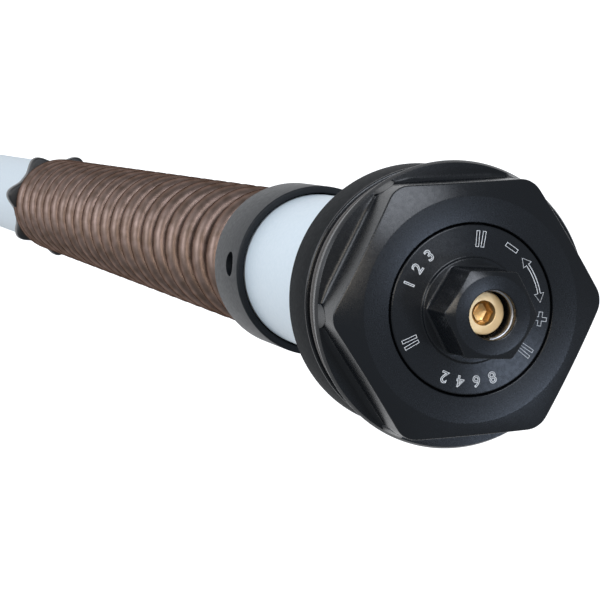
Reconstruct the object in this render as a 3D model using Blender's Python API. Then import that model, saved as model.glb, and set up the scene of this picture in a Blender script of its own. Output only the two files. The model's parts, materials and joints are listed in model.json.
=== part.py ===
"""Fork cartridge: a cap with its preload and damping adjusters, the main spring and the damper.

Metres, +Z up along the fork. The origin is on the axis, on the cap face that seats on the fork tube.
"""
import math

import bmesh
import bpy
from mathutils import Matrix, Vector

# Fits
GAP = 0.0003                     # clearance between a piece and what it seats on or runs in
EDGE = 0.0005                    # broken edge of the turned pieces

# Fork cap
CAP_RADIUS = 0.02325
CAP_HEIGHT = 0.0265              # seat face to front face
CAP_FLATS = 0.0410               # across the six milled flats
FLATS_HEIGHT = 0.0095
FACE_CHAMFER_WIDTH = 0.0046
FACE_CHAMFER_DROP = 0.0013
BAND_HEIGHT = 0.0098
RING_GROOVE_WIDTH = 0.0040
CAP_RING_SECTION = 0.0030
SKIRT_WALL = 0.0017              # thread wall outside the circlip's groove
SKIRT_LIP = 0.0016               # skirt past the circlip's groove
SKIRT_SEAL_SECTION = 0.0020
SKIRT_SEAL_OFFSET = 0.0008

# Preload adjuster
DIAL_RADIUS = 0.0140
DIAL_THICKNESS = 0.0065
DIAL_SEAL_SECTION = 0.0018
THRUST_WIDTH = 0.0017            # flange past the dial, bears under the cap
THRUST_THICKNESS = 0.0032
HEX_FLATS = 0.0140
HEX_HEIGHT = 0.0090              # above the dial
HEX_ANGLE = -5.5                 # degrees, one corner from +X
BOSS_WIDTH = 0.0006              # round step past the hexagon's corners
BOSS_HEIGHT = 0.0006
STEM_RADIUS = 0.0090
STEM_END_CLEARANCE = 0.0012
SCREW_BORE_RADIUS = 0.0040
SNAP_RING_DEPTH = 0.0026         # hexagon's end to the snap ring
SNAP_RING_SECTION = 0.0008
SNAP_RING_OPENING = 50.0         # degrees

# Preload nut, pins and tube
PRELOAD_TRAVEL = 0.0120
NUT_HEIGHT = 0.0060
PIN_RADIUS = 0.0020
PIN_COUNT = 3
PIN_PROUD = 0.0020               # past the cap's skirt
WASHER_THICKNESS = 0.0025
WASHER_CLEARANCE = 0.0005        # past the lock nut's corners
TUBE_CLEARANCE = 0.00223         # past the lock nut's corners
TUBE_WALL = 0.0022
TUBE_LENGTH = 0.0423

# Spring collar
COLLAR_WALL = 0.00145            # round the tube's socket
COLLAR_LENGTH = 0.0176
COLLAR_SOCKET_DEPTH = 0.0026
COLLAR_HOLE_RADIUS = 0.0025
COLLAR_HOLE_LAND = 0.0007        # socket's floor to the hole
COLLAR_HOLE_ANGLE = 173.0        # degrees from +X
COLLAR_SPIGOT_WALL = 0.00245
SPIGOT_LENGTH = 0.0070

# Damping screw and metering rod
SCREW_FACE_INSET = 0.0006
SCREW_FACE_DEPTH = 0.0050        # hexagon's end to the screw's face
SCREW_FACE_HEIGHT = 0.0012
SCREW_BODY_LENGTH = 0.0070
SCREW_SEAL_SECTION = 0.0012
SCREW_STEM_REACH = 0.0040        # into the piston rod
SCREW_TIP_RADIUS = 0.0012
SCREW_TIP_LENGTH = 0.0060
KEY_FLATS = 0.0030
KEY_DEPTH = 0.0030
NEEDLE_TRAVEL = 0.0030
NEEDLE_RADIUS = 0.0016
NEEDLE_TIP_LENGTH = 0.0060
NEEDLE_TIP_RADIUS = 0.0005

# Rod holder
HOLDER_THICKNESS = 0.0055
HOLDER_STEP = 0.0005             # cap shoulder over the holder
HOLDER_BOSS_WALL = 0.0027
HOLDER_BOSS_LENGTH = 0.0125
CIRCLIP_THICKNESS = 0.0012
CIRCLIP_WIDTH = 0.0014
CIRCLIP_GRIP = 0.0005            # circlip past the holder's bore
CIRCLIP_OPENING = 40.0           # degrees
LOCK_NUT_FLATS = 0.0190
LOCK_NUT_HEIGHT = 0.0080
LOCK_NUT_ANGLE = 30.0            # degrees, turns a flat towards each push pin

# Main spring
SPRING_LENGTH = 0.2713
WIRE_DIAMETER = 0.0045
ACTIVE_COILS = 20.5
CLOSED_COILS = 1.0               # at each end
CLOSED_COIL_GAP = 0.0007
POINTS_PER_COIL = 10

# Spring seat
SEAT_INSET = 0.0002              # rim between the lobes, inside the spring
SEAT_SPIGOT_WALL = 0.00135
SEAT_THICKNESS = 0.0050
LOBE_COUNT = 7
LOBE_HEIGHT = 0.0021
LOBE_SHARPNESS = 1.5
LOBE_ANGLE = 164.7               # degrees from +X to one lobe

# Piston rod and what it carries
ROD_BORE_RADIUS = 0.0026
ROD_ORIFICE_RADIUS = 0.0012
ROD_ORIFICE_LENGTH = 0.0060
ROD_SPIGOT_WALL = 0.0014
ROD_SHOULDER_WIDTH = 0.0020
STOP_INSET = 0.0012              # stop inside the piston's radius
TOP_OUT_LENGTH = 0.0097
STOP_WASHER_THICKNESS = 0.0020
SHIM_INSET = 0.0019              # shims inside the piston's radius
SHIM_STACK = 0.0016
PISTON_LENGTH = 0.0100
PISTON_BAND_WIDTH = 0.0060
PISTON_BAND_DEPTH = 0.0012
PORT_RADIUS = 0.0012
PORT_COUNT = 4
PISTON_NUT_FLATS = 0.0130
PISTON_NUT_HEIGHT = 0.0060
ROD_END_PROUD = 0.0008

# Damper
DAMPER_STROKE = 0.1200
STROKE_CLEARANCE = 0.0010        # piston rod to the base valve at full stroke
DAMPER_WALL = 0.00175
NECK_WALL = 0.0008
NECK_LENGTH = 0.0110
HEAD_WALL = 0.0021               # round the rod bush, under the seal
HEAD_FLANGE_THICKNESS = 0.0030
HEAD_PLUG_LENGTH = 0.0220
ROD_SEAL_WALL = 0.0012
ROD_SEAL_LENGTH = 0.0055
ROD_BUSH_WALL = 0.0012
ROD_BUSH_LENGTH = 0.0120
PLUG_SEAL_SECTION = 0.0018
VALVE_BOLT_RADIUS = 0.0030
VALVE_BOLT_HEAD_FLATS = 0.0100
VALVE_BOLT_HEAD_HEIGHT = 0.0040
VALVE_BOLT_THREAD = 0.0120       # length in the base plug
VALVE_LENGTH = 0.0100
OIL_HOLE_RADIUS = 0.0025
OIL_HOLE_COUNT = 4
PLUG_BOSS_RADIUS = 0.0060
PLUG_BOSS_LENGTH = 0.0070
PLUG_LENGTH = 0.0130
PLUG_FLANGE_THICKNESS = 0.0035
FOOT_RADIUS = 0.0110
FOOT_LENGTH = 0.0150
FOOT_HOLE_RADIUS = 0.00425       # core of the thread for the fork's bottom bolt
FOOT_HOLE_DEPTH = 0.0180

# Fineness of round pieces
CAP_SEGMENTS = 36
ROUND_SEGMENTS = 24
SMALL_SEGMENTS = 18
SEAL_SIDES = 6
HOLE_SIDES = 12
SEGMENTS_PER_LOBE = 8
CUT_OVERRUN = 0.0010

# Radii of the rod, the damper and the spring, outwards from the rod's bore
ROD_SPIGOT_RADIUS = ROD_BORE_RADIUS + ROD_SPIGOT_WALL
ROD_RADIUS = ROD_SPIGOT_RADIUS + ROD_SHOULDER_WIDTH
ROD_GUIDE_RADIUS = ROD_RADIUS + GAP
SEAL_POCKET_RADIUS = ROD_GUIDE_RADIUS + ROD_SEAL_WALL
BUSH_POCKET_RADIUS = ROD_GUIDE_RADIUS + ROD_BUSH_WALL
PLUG_RADIUS = BUSH_POCKET_RADIUS + HEAD_WALL + PLUG_SEAL_SECTION + GAP
DAMPER_BORE_RADIUS = PLUG_RADIUS + GAP
DAMPER_RADIUS = DAMPER_BORE_RADIUS + DAMPER_WALL
STOP_RADIUS = PLUG_RADIUS - STOP_INSET
SHIM_BORE_RADIUS = ROD_SPIGOT_RADIUS + GAP
SHIM_RADIUS = PLUG_RADIUS - SHIM_INSET
PORT_CIRCLE = (SHIM_BORE_RADIUS + SHIM_RADIUS) / 2.0
VALVE_BORE_RADIUS = VALVE_BOLT_RADIUS + GAP
NECK_RADIUS = SEAL_POCKET_RADIUS + NECK_WALL
SEAT_BORE_RADIUS = NECK_RADIUS + GAP
SPIGOT_RADIUS = SEAT_BORE_RADIUS + SEAT_SPIGOT_WALL
COIL_RADIUS = (SPIGOT_RADIUS + GAP + WIRE_DIAMETER / 2.0) / math.cos(math.pi / POINTS_PER_COIL)
SPRING_RADIUS = COIL_RADIUS + WIRE_DIAMETER / 2.0
SEAT_RADIUS = SPRING_RADIUS - SEAT_INSET

# Radii of the cap and the preload drive
FACE_RADIUS = CAP_RADIUS - FACE_CHAMFER_WIDTH
CAP_RING_RADIUS = CAP_RADIUS - GAP
DIAL_BORE_RADIUS = DIAL_RADIUS + GAP
THRUST_RADIUS = DIAL_RADIUS + THRUST_WIDTH
CAVITY_RADIUS = THRUST_RADIUS + GAP
HOLDER_BORE_RADIUS = CAVITY_RADIUS + HOLDER_STEP
CIRCLIP_RADIUS = HOLDER_BORE_RADIUS + CIRCLIP_GRIP
SKIRT_RADIUS = CIRCLIP_RADIUS + GAP + SKIRT_WALL
HEX_CORNER_RADIUS = HEX_FLATS / math.sqrt(3.0)
BOSS_RADIUS = HEX_CORNER_RADIUS + BOSS_WIDTH
SCREW_BODY_RADIUS = SCREW_BORE_RADIUS - GAP
SCREW_FACE_RADIUS = SCREW_BODY_RADIUS - SCREW_FACE_INSET
SCREW_STEM_RADIUS = ROD_BORE_RADIUS - GAP
STEM_BORE_RADIUS = SCREW_STEM_RADIUS + GAP
PIN_CIRCLE = (STEM_RADIUS + CAVITY_RADIUS) / 2.0
HOLDER_BOSS_RADIUS = ROD_GUIDE_RADIUS + HOLDER_BOSS_WALL
LOCK_NUT_CORNER_RADIUS = LOCK_NUT_FLATS / math.sqrt(3.0)
WASHER_BORE_RADIUS = LOCK_NUT_CORNER_RADIUS + WASHER_CLEARANCE
TUBE_BORE_RADIUS = LOCK_NUT_CORNER_RADIUS + TUBE_CLEARANCE
TUBE_RADIUS = TUBE_BORE_RADIUS + TUBE_WALL
SOCKET_RADIUS = TUBE_RADIUS + GAP
COLLAR_RADIUS = SOCKET_RADIUS + COLLAR_WALL
COLLAR_BORE_RADIUS = SPIGOT_RADIUS - COLLAR_SPIGOT_WALL

# Heights of the cap and the preload drive, downwards from the front face
FLATS_END_Z = CAP_HEIGHT - FLATS_HEIGHT
GROOVE_TOP_Z = BAND_HEIGHT + RING_GROOVE_WIDTH
HEX_TOP_Z = CAP_HEIGHT + HEX_HEIGHT
BOSS_TOP_Z = CAP_HEIGHT + BOSS_HEIGHT
SNAP_RING_Z = HEX_TOP_Z - SNAP_RING_DEPTH
SHOULDER_Z = CAP_HEIGHT - DIAL_THICKNESS
THRUST_TOP_Z = SHOULDER_Z - GAP
THRUST_END_Z = THRUST_TOP_Z - THRUST_THICKNESS
NUT_TOP_Z = THRUST_END_Z - GAP
NUT_END_Z = NUT_TOP_Z - NUT_HEIGHT
HOLDER_TOP_Z = NUT_END_Z - PRELOAD_TRAVEL - GAP
HOLDER_SHOULDER_Z = HOLDER_TOP_Z + GAP
STEM_END_Z = HOLDER_TOP_Z + STEM_END_CLEARANCE
HOLDER_END_Z = HOLDER_TOP_Z - HOLDER_THICKNESS
CIRCLIP_TOP_Z = HOLDER_END_Z - GAP
CIRCLIP_END_Z = CIRCLIP_TOP_Z - CIRCLIP_THICKNESS
SKIRT_END_Z = CIRCLIP_END_Z - GAP - SKIRT_LIP
PIN_END_Z = SKIRT_END_Z - PIN_PROUD
WASHER_TOP_Z = PIN_END_Z - GAP
WASHER_END_Z = WASHER_TOP_Z - WASHER_THICKNESS
TUBE_TOP_Z = WASHER_END_Z - GAP
TUBE_END_Z = TUBE_TOP_Z - TUBE_LENGTH
SOCKET_FLOOR_Z = TUBE_END_Z - GAP
COLLAR_TOP_Z = SOCKET_FLOOR_Z + COLLAR_SOCKET_DEPTH
COLLAR_END_Z = COLLAR_TOP_Z - COLLAR_LENGTH
COLLAR_HOLE_Z = SOCKET_FLOOR_Z - COLLAR_HOLE_LAND - COLLAR_HOLE_RADIUS

# Heights of the damping screw and the rod's top end
SCREW_FACE_Z = HEX_TOP_Z - SCREW_FACE_DEPTH
SCREW_SHOULDER_Z = SCREW_FACE_Z - SCREW_FACE_HEIGHT
SCREW_BODY_END_Z = SCREW_SHOULDER_Z - SCREW_BODY_LENGTH
SCREW_SEAT_Z = SCREW_BODY_END_Z - GAP
ROD_TOP_Z = HOLDER_TOP_Z - GAP
SCREW_STEM_END_Z = ROD_TOP_Z - SCREW_STEM_REACH
SCREW_TIP_END_Z = SCREW_STEM_END_Z - SCREW_TIP_LENGTH
NEEDLE_TOP_Z = SCREW_STEM_END_Z - GAP
NEEDLE_SOCKET_Z = SCREW_TIP_END_Z - GAP
HOLDER_BOSS_END_Z = HOLDER_END_Z - HOLDER_BOSS_LENGTH
LOCK_NUT_TOP_Z = HOLDER_BOSS_END_Z - GAP
LOCK_NUT_END_Z = LOCK_NUT_TOP_Z - LOCK_NUT_HEIGHT

# Heights of the spring, the seal head and the piston
SPRING_TOP_Z = COLLAR_END_Z - GAP
SPRING_END_Z = SPRING_TOP_Z - SPRING_LENGTH
SEAT_TOP_Z = SPRING_END_Z - GAP
SEAT_END_Z = SEAT_TOP_Z - SEAT_THICKNESS
HEAD_FLANGE_TOP_Z = SEAT_END_Z - GAP
HEAD_FLANGE_END_Z = HEAD_FLANGE_TOP_Z - HEAD_FLANGE_THICKNESS
NECK_TOP_Z = HEAD_FLANGE_TOP_Z + NECK_LENGTH
HEAD_END_Z = HEAD_FLANGE_END_Z - HEAD_PLUG_LENGTH
TOP_OUT_TOP_Z = HEAD_END_Z - GAP
ROD_SHOULDER_Z = TOP_OUT_TOP_Z - TOP_OUT_LENGTH
STOP_WASHER_TOP_Z = ROD_SHOULDER_Z - GAP
STOP_WASHER_END_Z = STOP_WASHER_TOP_Z - STOP_WASHER_THICKNESS
REBOUND_SHIMS_TOP_Z = STOP_WASHER_END_Z - GAP
PISTON_TOP_Z = REBOUND_SHIMS_TOP_Z - SHIM_STACK - GAP
PISTON_END_Z = PISTON_TOP_Z - PISTON_LENGTH
COMPRESSION_SHIMS_TOP_Z = PISTON_END_Z - GAP
PISTON_NUT_TOP_Z = COMPRESSION_SHIMS_TOP_Z - SHIM_STACK - GAP
PISTON_NUT_END_Z = PISTON_NUT_TOP_Z - PISTON_NUT_HEIGHT
ROD_END_Z = PISTON_NUT_END_Z - ROD_END_PROUD

# Heights of the base valve, the damper tube and the foot
BOLT_TOP_Z = ROD_END_Z - DAMPER_STROKE - STROKE_CLEARANCE
VALVE_TOP_Z = BOLT_TOP_Z - VALVE_BOLT_HEAD_HEIGHT - GAP
VALVE_END_Z = VALVE_TOP_Z - VALVE_LENGTH
BASE_SHIMS_TOP_Z = VALVE_END_Z - GAP
PLUG_BOSS_TOP_Z = BASE_SHIMS_TOP_Z - SHIM_STACK - GAP
PLUG_TOP_Z = PLUG_BOSS_TOP_Z - PLUG_BOSS_LENGTH
PLUG_FLANGE_TOP_Z = PLUG_TOP_Z - PLUG_LENGTH
PLUG_FLANGE_END_Z = PLUG_FLANGE_TOP_Z - PLUG_FLANGE_THICKNESS
FOOT_END_Z = PLUG_FLANGE_END_Z - FOOT_LENGTH
BOLT_END_Z = PLUG_BOSS_TOP_Z - VALVE_BOLT_THREAD
OIL_HOLE_Z = (PLUG_BOSS_TOP_Z + PLUG_TOP_Z) / 2.0
DAMPER_TOP_Z = HEAD_FLANGE_END_Z - GAP
DAMPER_END_Z = PLUG_FLANGE_TOP_Z + GAP

# Finishes: colour, metallic and roughness
BLACK_ANODISED = ((0.022, 0.025, 0.030), 0.5, 0.38)
CLEAR_ANODISED = ((0.72, 0.76, 0.79), 0.9, 0.35)
BARE_ALUMINIUM = ((0.60, 0.61, 0.62), 1.0, 0.30)
GROUND_STEEL = ((0.50, 0.50, 0.51), 1.0, 0.20)
SPRING_STEEL = ((0.20, 0.16, 0.14), 0.7, 0.40)
BRASS = ((0.80, 0.60, 0.27), 1.0, 0.28)
BLACK_PLASTIC = ((0.012, 0.012, 0.012), 0.0, 0.50)
BLACK_RUBBER = ((0.030, 0.028, 0.027), 0.0, 0.55)
PALE_PLASTIC = ((0.55, 0.45, 0.30), 0.0, 0.45)


def clear_scene():
    """Remove whatever the scene holds."""
    for item in list(bpy.data.objects):
        bpy.data.objects.remove(item, do_unlink=True)


def make_body(name):
    """Return the empty on the joint axis that carries the pieces of one moving body."""
    empty = bpy.data.objects.new(name + "_body", None)
    bpy.context.scene.collection.objects.link(empty)
    return empty


def place(item, finish, body):
    """Link an object, give it its material and hang it on its body."""
    colour, metallic, roughness = finish
    material = bpy.data.materials.new(item.name)
    material.use_nodes = True
    shader = material.node_tree.nodes["Principled BSDF"]
    shader.inputs["Base Color"].default_value = (*colour, 1.0)
    shader.inputs["Metallic"].default_value = metallic
    shader.inputs["Roughness"].default_value = roughness
    item.data.materials.append(material)
    item.parent = body
    bpy.context.scene.collection.objects.link(item)
    return item


def hexagon(across_flats):
    """Return the radius of a hexagon, with a corner on +X, as a function of the angle."""
    def radius(angle):
        from_flat = angle % (math.pi / 3.0) - math.pi / 6.0
        return across_flats / 2.0 / math.cos(from_flat)
    return radius


def lobed(inner_radius, height):
    """Return the radius of the spring seat's wavy rim, with a lobe on +X, as a function of the angle."""
    def radius(angle):
        wave = 0.5 + 0.5 * math.cos(LOBE_COUNT * angle)
        return inner_radius + height * wave ** LOBE_SHARPNESS
    return radius


def at_angle(point, angle):
    """Return a profile point's radius and height; either may follow the angle."""
    radius, height = point
    if callable(radius):
        radius = radius(angle)
    if callable(height):
        height = height(radius)
    return radius, height


def turned_mesh(name, profile, segments, opening=0.0):
    """Turn a closed profile of (radius, height) points about Z, less an opening in degrees."""
    mesh = bmesh.new()
    is_open = opening > 0.0
    sweep = math.tau - math.radians(opening)
    columns = []
    for step in range(segments + 1 if is_open else segments):
        angle = math.radians(opening) / 2.0 + sweep * step / segments
        column = []
        for point in profile:
            radius, height = at_angle(point, angle)
            column.append(mesh.verts.new((radius * math.cos(angle), radius * math.sin(angle), height)))
        columns.append(column)
    for step in range(segments):
        left = columns[step]
        right = columns[(step + 1) % len(columns)]
        for index in range(len(profile)):
            following = (index + 1) % len(profile)
            mesh.faces.new((left[index], right[index], right[following], left[following]))
    if is_open:
        mesh.faces.new(columns[0])
        mesh.faces.new(columns[-1])
    bmesh.ops.remove_doubles(mesh, verts=mesh.verts, dist=1e-7)
    bmesh.ops.dissolve_degenerate(mesh, edges=mesh.edges, dist=1e-7)
    bmesh.ops.recalc_face_normals(mesh, faces=mesh.faces)
    data = bpy.data.meshes.new(name)
    mesh.to_mesh(data)
    mesh.free()
    data.shade_smooth()
    data.set_sharp_from_angle(angle=math.radians(30.0))
    return data


def turned(name, profile, finish, body, segments=ROUND_SEGMENTS, opening=0.0):
    """Add one turned piece."""
    data = turned_mesh(name, profile, segments, opening)
    return place(bpy.data.objects.new(name, data), finish, body)


def sleeve(name, bore, radius, top, end, finish, body, segments=ROUND_SEGMENTS):
    """Add a plain ring, washer, nut or tube."""
    profile = [(bore, top), (radius, top), (radius, end), (bore, end)]
    return turned(name, profile, finish, body, segments)


def seal(name, radius, section, middle_z, finish, body, segments=SMALL_SEGMENTS, opening=0.0):
    """Add a ring of round section, given its outer radius."""
    profile = []
    for side in range(SEAL_SIDES):
        turn = math.tau * side / SEAL_SIDES
        side_radius = radius - section / 2.0 * (1.0 - math.cos(turn))
        profile.append((side_radius, middle_z + section / 2.0 * math.sin(turn)))
    return turned(name, profile, finish, body, segments, opening)


def groove(radius, root, top, end):
    """Return the four profile points of a groove, from its first edge to its last one."""
    return [(radius, top), (root, top), (root, end), (radius, end)]


def seal_groove(radius, section, middle_z):
    """Return the profile points of the groove that holds a seal, from its upper edge down."""
    half_width = section / 2.0 + GAP
    return groove(radius, radius - section - GAP, middle_z + half_width, middle_z - half_width)


def drill(target, name, places, direction, radius, length):
    """Cut round holes, centred on the places and along one direction, through a piece."""
    mesh = bmesh.new()
    turn = Vector((0.0, 0.0, 1.0)).rotation_difference(Vector(direction)).to_matrix().to_4x4()
    for centre in places:
        bmesh.ops.create_cone(mesh, cap_ends=True, segments=HOLE_SIDES, radius1=radius, radius2=radius,
                              depth=length, matrix=Matrix.Translation(centre) @ turn)
    data = bpy.data.meshes.new(name)
    mesh.to_mesh(data)
    mesh.free()
    cutter = bpy.data.objects.new(name, data)
    cutter.hide_render = True
    cutter.display_type = "WIRE"
    bpy.context.scene.collection.objects.link(cutter)
    cut = target.modifiers.new(name, "BOOLEAN")
    cut.operation = "DIFFERENCE"
    cut.solver = "EXACT"
    cut.object = cutter


def ring_of_places(radius, count, height):
    """Return points spaced evenly on a circle about Z."""
    places = []
    for index in range(count):
        angle = math.tau * index / count
        places.append(Vector((radius * math.cos(angle), radius * math.sin(angle), height)))
    return places


def build_cap(body):
    """Add the fork cap and its two seals."""
    flats = hexagon(CAP_FLATS)
    chamfer_slope = FACE_CHAMFER_DROP / FACE_CHAMFER_WIDTH

    def outline(angle):
        return min(CAP_RADIUS, flats(angle))

    def chamfer_height(radius):
        return CAP_HEIGHT - chamfer_slope * (radius - FACE_RADIUS)

    ring_root = CAP_RING_RADIUS - CAP_RING_SECTION - GAP
    skirt_seal_z = -SKIRT_SEAL_OFFSET - SKIRT_SEAL_SECTION / 2.0 - GAP
    profile = [(DIAL_BORE_RADIUS, CAP_HEIGHT), (FACE_RADIUS, CAP_HEIGHT)]
    profile += [(outline, chamfer_height), (outline, FLATS_END_Z), (CAP_RADIUS, FLATS_END_Z)]
    profile += groove(CAP_RADIUS, ring_root, GROOVE_TOP_Z, BAND_HEIGHT)
    profile += [(CAP_RADIUS, EDGE), (CAP_RADIUS - EDGE, 0.0), (SKIRT_RADIUS, 0.0)]
    profile += seal_groove(SKIRT_RADIUS, SKIRT_SEAL_SECTION, skirt_seal_z)
    profile += [(SKIRT_RADIUS, SKIRT_END_Z + 2.0 * EDGE), (SKIRT_RADIUS - 2.0 * EDGE, SKIRT_END_Z)]
    profile += [(HOLDER_BORE_RADIUS, SKIRT_END_Z)]
    profile += groove(HOLDER_BORE_RADIUS, CIRCLIP_RADIUS + GAP, CIRCLIP_END_Z - GAP, CIRCLIP_TOP_Z + GAP)
    profile += [(HOLDER_BORE_RADIUS, HOLDER_SHOULDER_Z), (CAVITY_RADIUS, HOLDER_SHOULDER_Z)]
    profile += [(CAVITY_RADIUS, SHOULDER_Z), (DIAL_BORE_RADIUS, SHOULDER_Z)]
    turned("fork_cap", profile, BLACK_ANODISED, body, CAP_SEGMENTS)

    ring_z = BAND_HEIGHT + GAP + CAP_RING_SECTION / 2.0
    seal("cap_ring", CAP_RING_RADIUS, CAP_RING_SECTION, ring_z, BLACK_RUBBER, body, CAP_SEGMENTS)
    seal("skirt_seal", SKIRT_RADIUS, SKIRT_SEAL_SECTION, skirt_seal_z, BLACK_RUBBER, body, ROUND_SEGMENTS)


def build_rod_holder(body):
    """Add the bridge that hangs the piston rod from the cap, with its circlip and lock nut."""
    disc_radius = HOLDER_BORE_RADIUS - GAP
    profile = [(ROD_GUIDE_RADIUS, HOLDER_TOP_Z), (disc_radius, HOLDER_TOP_Z), (disc_radius, HOLDER_END_Z)]
    profile += [(HOLDER_BOSS_RADIUS, HOLDER_END_Z), (HOLDER_BOSS_RADIUS, HOLDER_BOSS_END_Z)]
    profile += [(ROD_GUIDE_RADIUS, HOLDER_BOSS_END_Z)]
    holder = turned("rod_holder", profile, BARE_ALUMINIUM, body)
    middle = (HOLDER_TOP_Z + HOLDER_END_Z) / 2.0
    drill(holder, "pin_holes_in_holder", ring_of_places(PIN_CIRCLE, PIN_COUNT, middle), (0.0, 0.0, 1.0),
          PIN_RADIUS + GAP, HOLDER_THICKNESS + 2.0 * CUT_OVERRUN)

    inner = CIRCLIP_RADIUS - CIRCLIP_WIDTH
    circlip = [(inner, CIRCLIP_TOP_Z), (CIRCLIP_RADIUS, CIRCLIP_TOP_Z)]
    circlip += [(CIRCLIP_RADIUS, CIRCLIP_END_Z), (inner, CIRCLIP_END_Z)]
    turned("holder_circlip", circlip, GROUND_STEEL, body, ROUND_SEGMENTS, CIRCLIP_OPENING)
    lock_nut = sleeve("rod_lock_nut", ROD_GUIDE_RADIUS, hexagon(LOCK_NUT_FLATS), LOCK_NUT_TOP_Z,
                      LOCK_NUT_END_Z, GROUND_STEEL, body, SMALL_SEGMENTS)
    lock_nut.rotation_euler.z = math.radians(LOCK_NUT_ANGLE)


def build_preload_adjuster(body):
    """Add the dial with its hexagon, its seal and the snap ring over the damping screw."""
    hex_outline = hexagon(HEX_FLATS)
    hex_face_radius = (HEX_FLATS / 2.0 + HEX_CORNER_RADIUS) / 2.0 - EDGE / 2.0
    corner_slope = math.tan(math.radians(30.0))

    def hex_face(angle):
        return min(hex_outline(angle), hex_face_radius)

    def corner_height(radius):
        return HEX_TOP_Z - max(0.0, radius - hex_face_radius) * corner_slope

    seal_z = (CAP_HEIGHT + THRUST_TOP_Z) / 2.0
    snap_half = SNAP_RING_SECTION / 2.0 + GAP / 2.0
    snap_root = SCREW_BORE_RADIUS + SNAP_RING_SECTION / 2.0
    profile = [(SCREW_BORE_RADIUS, HEX_TOP_Z), (hex_face, HEX_TOP_Z), (hex_outline, corner_height)]
    profile += [(hex_outline, BOSS_TOP_Z), (BOSS_RADIUS, BOSS_TOP_Z), (BOSS_RADIUS, CAP_HEIGHT)]
    profile += [(DIAL_RADIUS - EDGE, CAP_HEIGHT), (DIAL_RADIUS, CAP_HEIGHT - EDGE)]
    profile += seal_groove(DIAL_RADIUS, DIAL_SEAL_SECTION, seal_z)
    profile += [(DIAL_RADIUS, THRUST_TOP_Z), (THRUST_RADIUS, THRUST_TOP_Z), (THRUST_RADIUS, THRUST_END_Z)]
    profile += [(STEM_RADIUS, THRUST_END_Z), (STEM_RADIUS, STEM_END_Z), (STEM_BORE_RADIUS, STEM_END_Z)]
    profile += [(STEM_BORE_RADIUS, SCREW_SEAT_Z), (SCREW_BORE_RADIUS, SCREW_SEAT_Z)]
    profile += groove(SCREW_BORE_RADIUS, snap_root, SNAP_RING_Z - snap_half, SNAP_RING_Z + snap_half)
    adjuster = turned("preload_adjuster", profile, BLACK_ANODISED, body)
    adjuster.rotation_euler.z = math.radians(HEX_ANGLE)

    seal("dial_seal", DIAL_RADIUS, DIAL_SEAL_SECTION, seal_z, BLACK_RUBBER, body, ROUND_SEGMENTS)
    seal("snap_ring", snap_root - GAP / 2.0, SNAP_RING_SECTION, SNAP_RING_Z, GROUND_STEEL, body,
         SMALL_SEGMENTS, SNAP_RING_OPENING)


def build_preload_slider(body):
    """Add the nut that the adjuster drives and all that it pushes down onto the spring."""
    nut = sleeve("preload_nut", STEM_RADIUS + GAP, CAVITY_RADIUS - GAP, NUT_TOP_Z, NUT_END_Z,
                 BARE_ALUMINIUM, body)
    nut_middle = (NUT_TOP_Z + NUT_END_Z) / 2.0
    drill(nut, "pin_holes_in_nut", ring_of_places(PIN_CIRCLE, PIN_COUNT, nut_middle), (0.0, 0.0, 1.0),
          PIN_RADIUS + GAP, NUT_HEIGHT + 2.0 * CUT_OVERRUN)

    pin_length = NUT_TOP_Z - GAP - PIN_END_Z
    pin_profile = [(0.0, pin_length), (PIN_RADIUS - EDGE, pin_length), (PIN_RADIUS, pin_length - EDGE)]
    pin_profile += [(PIN_RADIUS, EDGE), (PIN_RADIUS - EDGE, 0.0), (0.0, 0.0)]
    for number, spot in enumerate(ring_of_places(PIN_CIRCLE, PIN_COUNT, PIN_END_Z), start=1):
        pin = turned(f"push_pin_{number}", pin_profile, GROUND_STEEL, body, HOLE_SIDES)
        pin.location = spot

    sleeve("push_washer", WASHER_BORE_RADIUS, TUBE_RADIUS, WASHER_TOP_Z, WASHER_END_Z, GROUND_STEEL, body)
    sleeve("preload_tube", TUBE_BORE_RADIUS, TUBE_RADIUS, TUBE_TOP_Z, TUBE_END_Z, CLEAR_ANODISED, body)

    spigot_end = COLLAR_END_Z - SPIGOT_LENGTH
    profile = [(SOCKET_RADIUS, COLLAR_TOP_Z), (COLLAR_RADIUS - EDGE, COLLAR_TOP_Z)]
    profile += [(COLLAR_RADIUS, COLLAR_TOP_Z - EDGE), (COLLAR_RADIUS, COLLAR_END_Z + EDGE)]
    profile += [(COLLAR_RADIUS - EDGE, COLLAR_END_Z), (SPIGOT_RADIUS, COLLAR_END_Z)]
    profile += [(SPIGOT_RADIUS, spigot_end + EDGE), (SPIGOT_RADIUS - EDGE, spigot_end)]
    profile += [(COLLAR_BORE_RADIUS, spigot_end), (COLLAR_BORE_RADIUS, SOCKET_FLOOR_Z)]
    profile += [(SOCKET_RADIUS, SOCKET_FLOOR_Z)]
    collar = turned("spring_collar", profile, BLACK_ANODISED, body)
    hole_angle = math.radians(COLLAR_HOLE_ANGLE)
    hole_direction = (math.cos(hole_angle), math.sin(hole_angle), 0.0)
    drill(collar, "collar_cross_hole", [Vector((0.0, 0.0, COLLAR_HOLE_Z))], hole_direction,
          COLLAR_HOLE_RADIUS, 2.0 * (COLLAR_RADIUS + CUT_OVERRUN))


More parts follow.
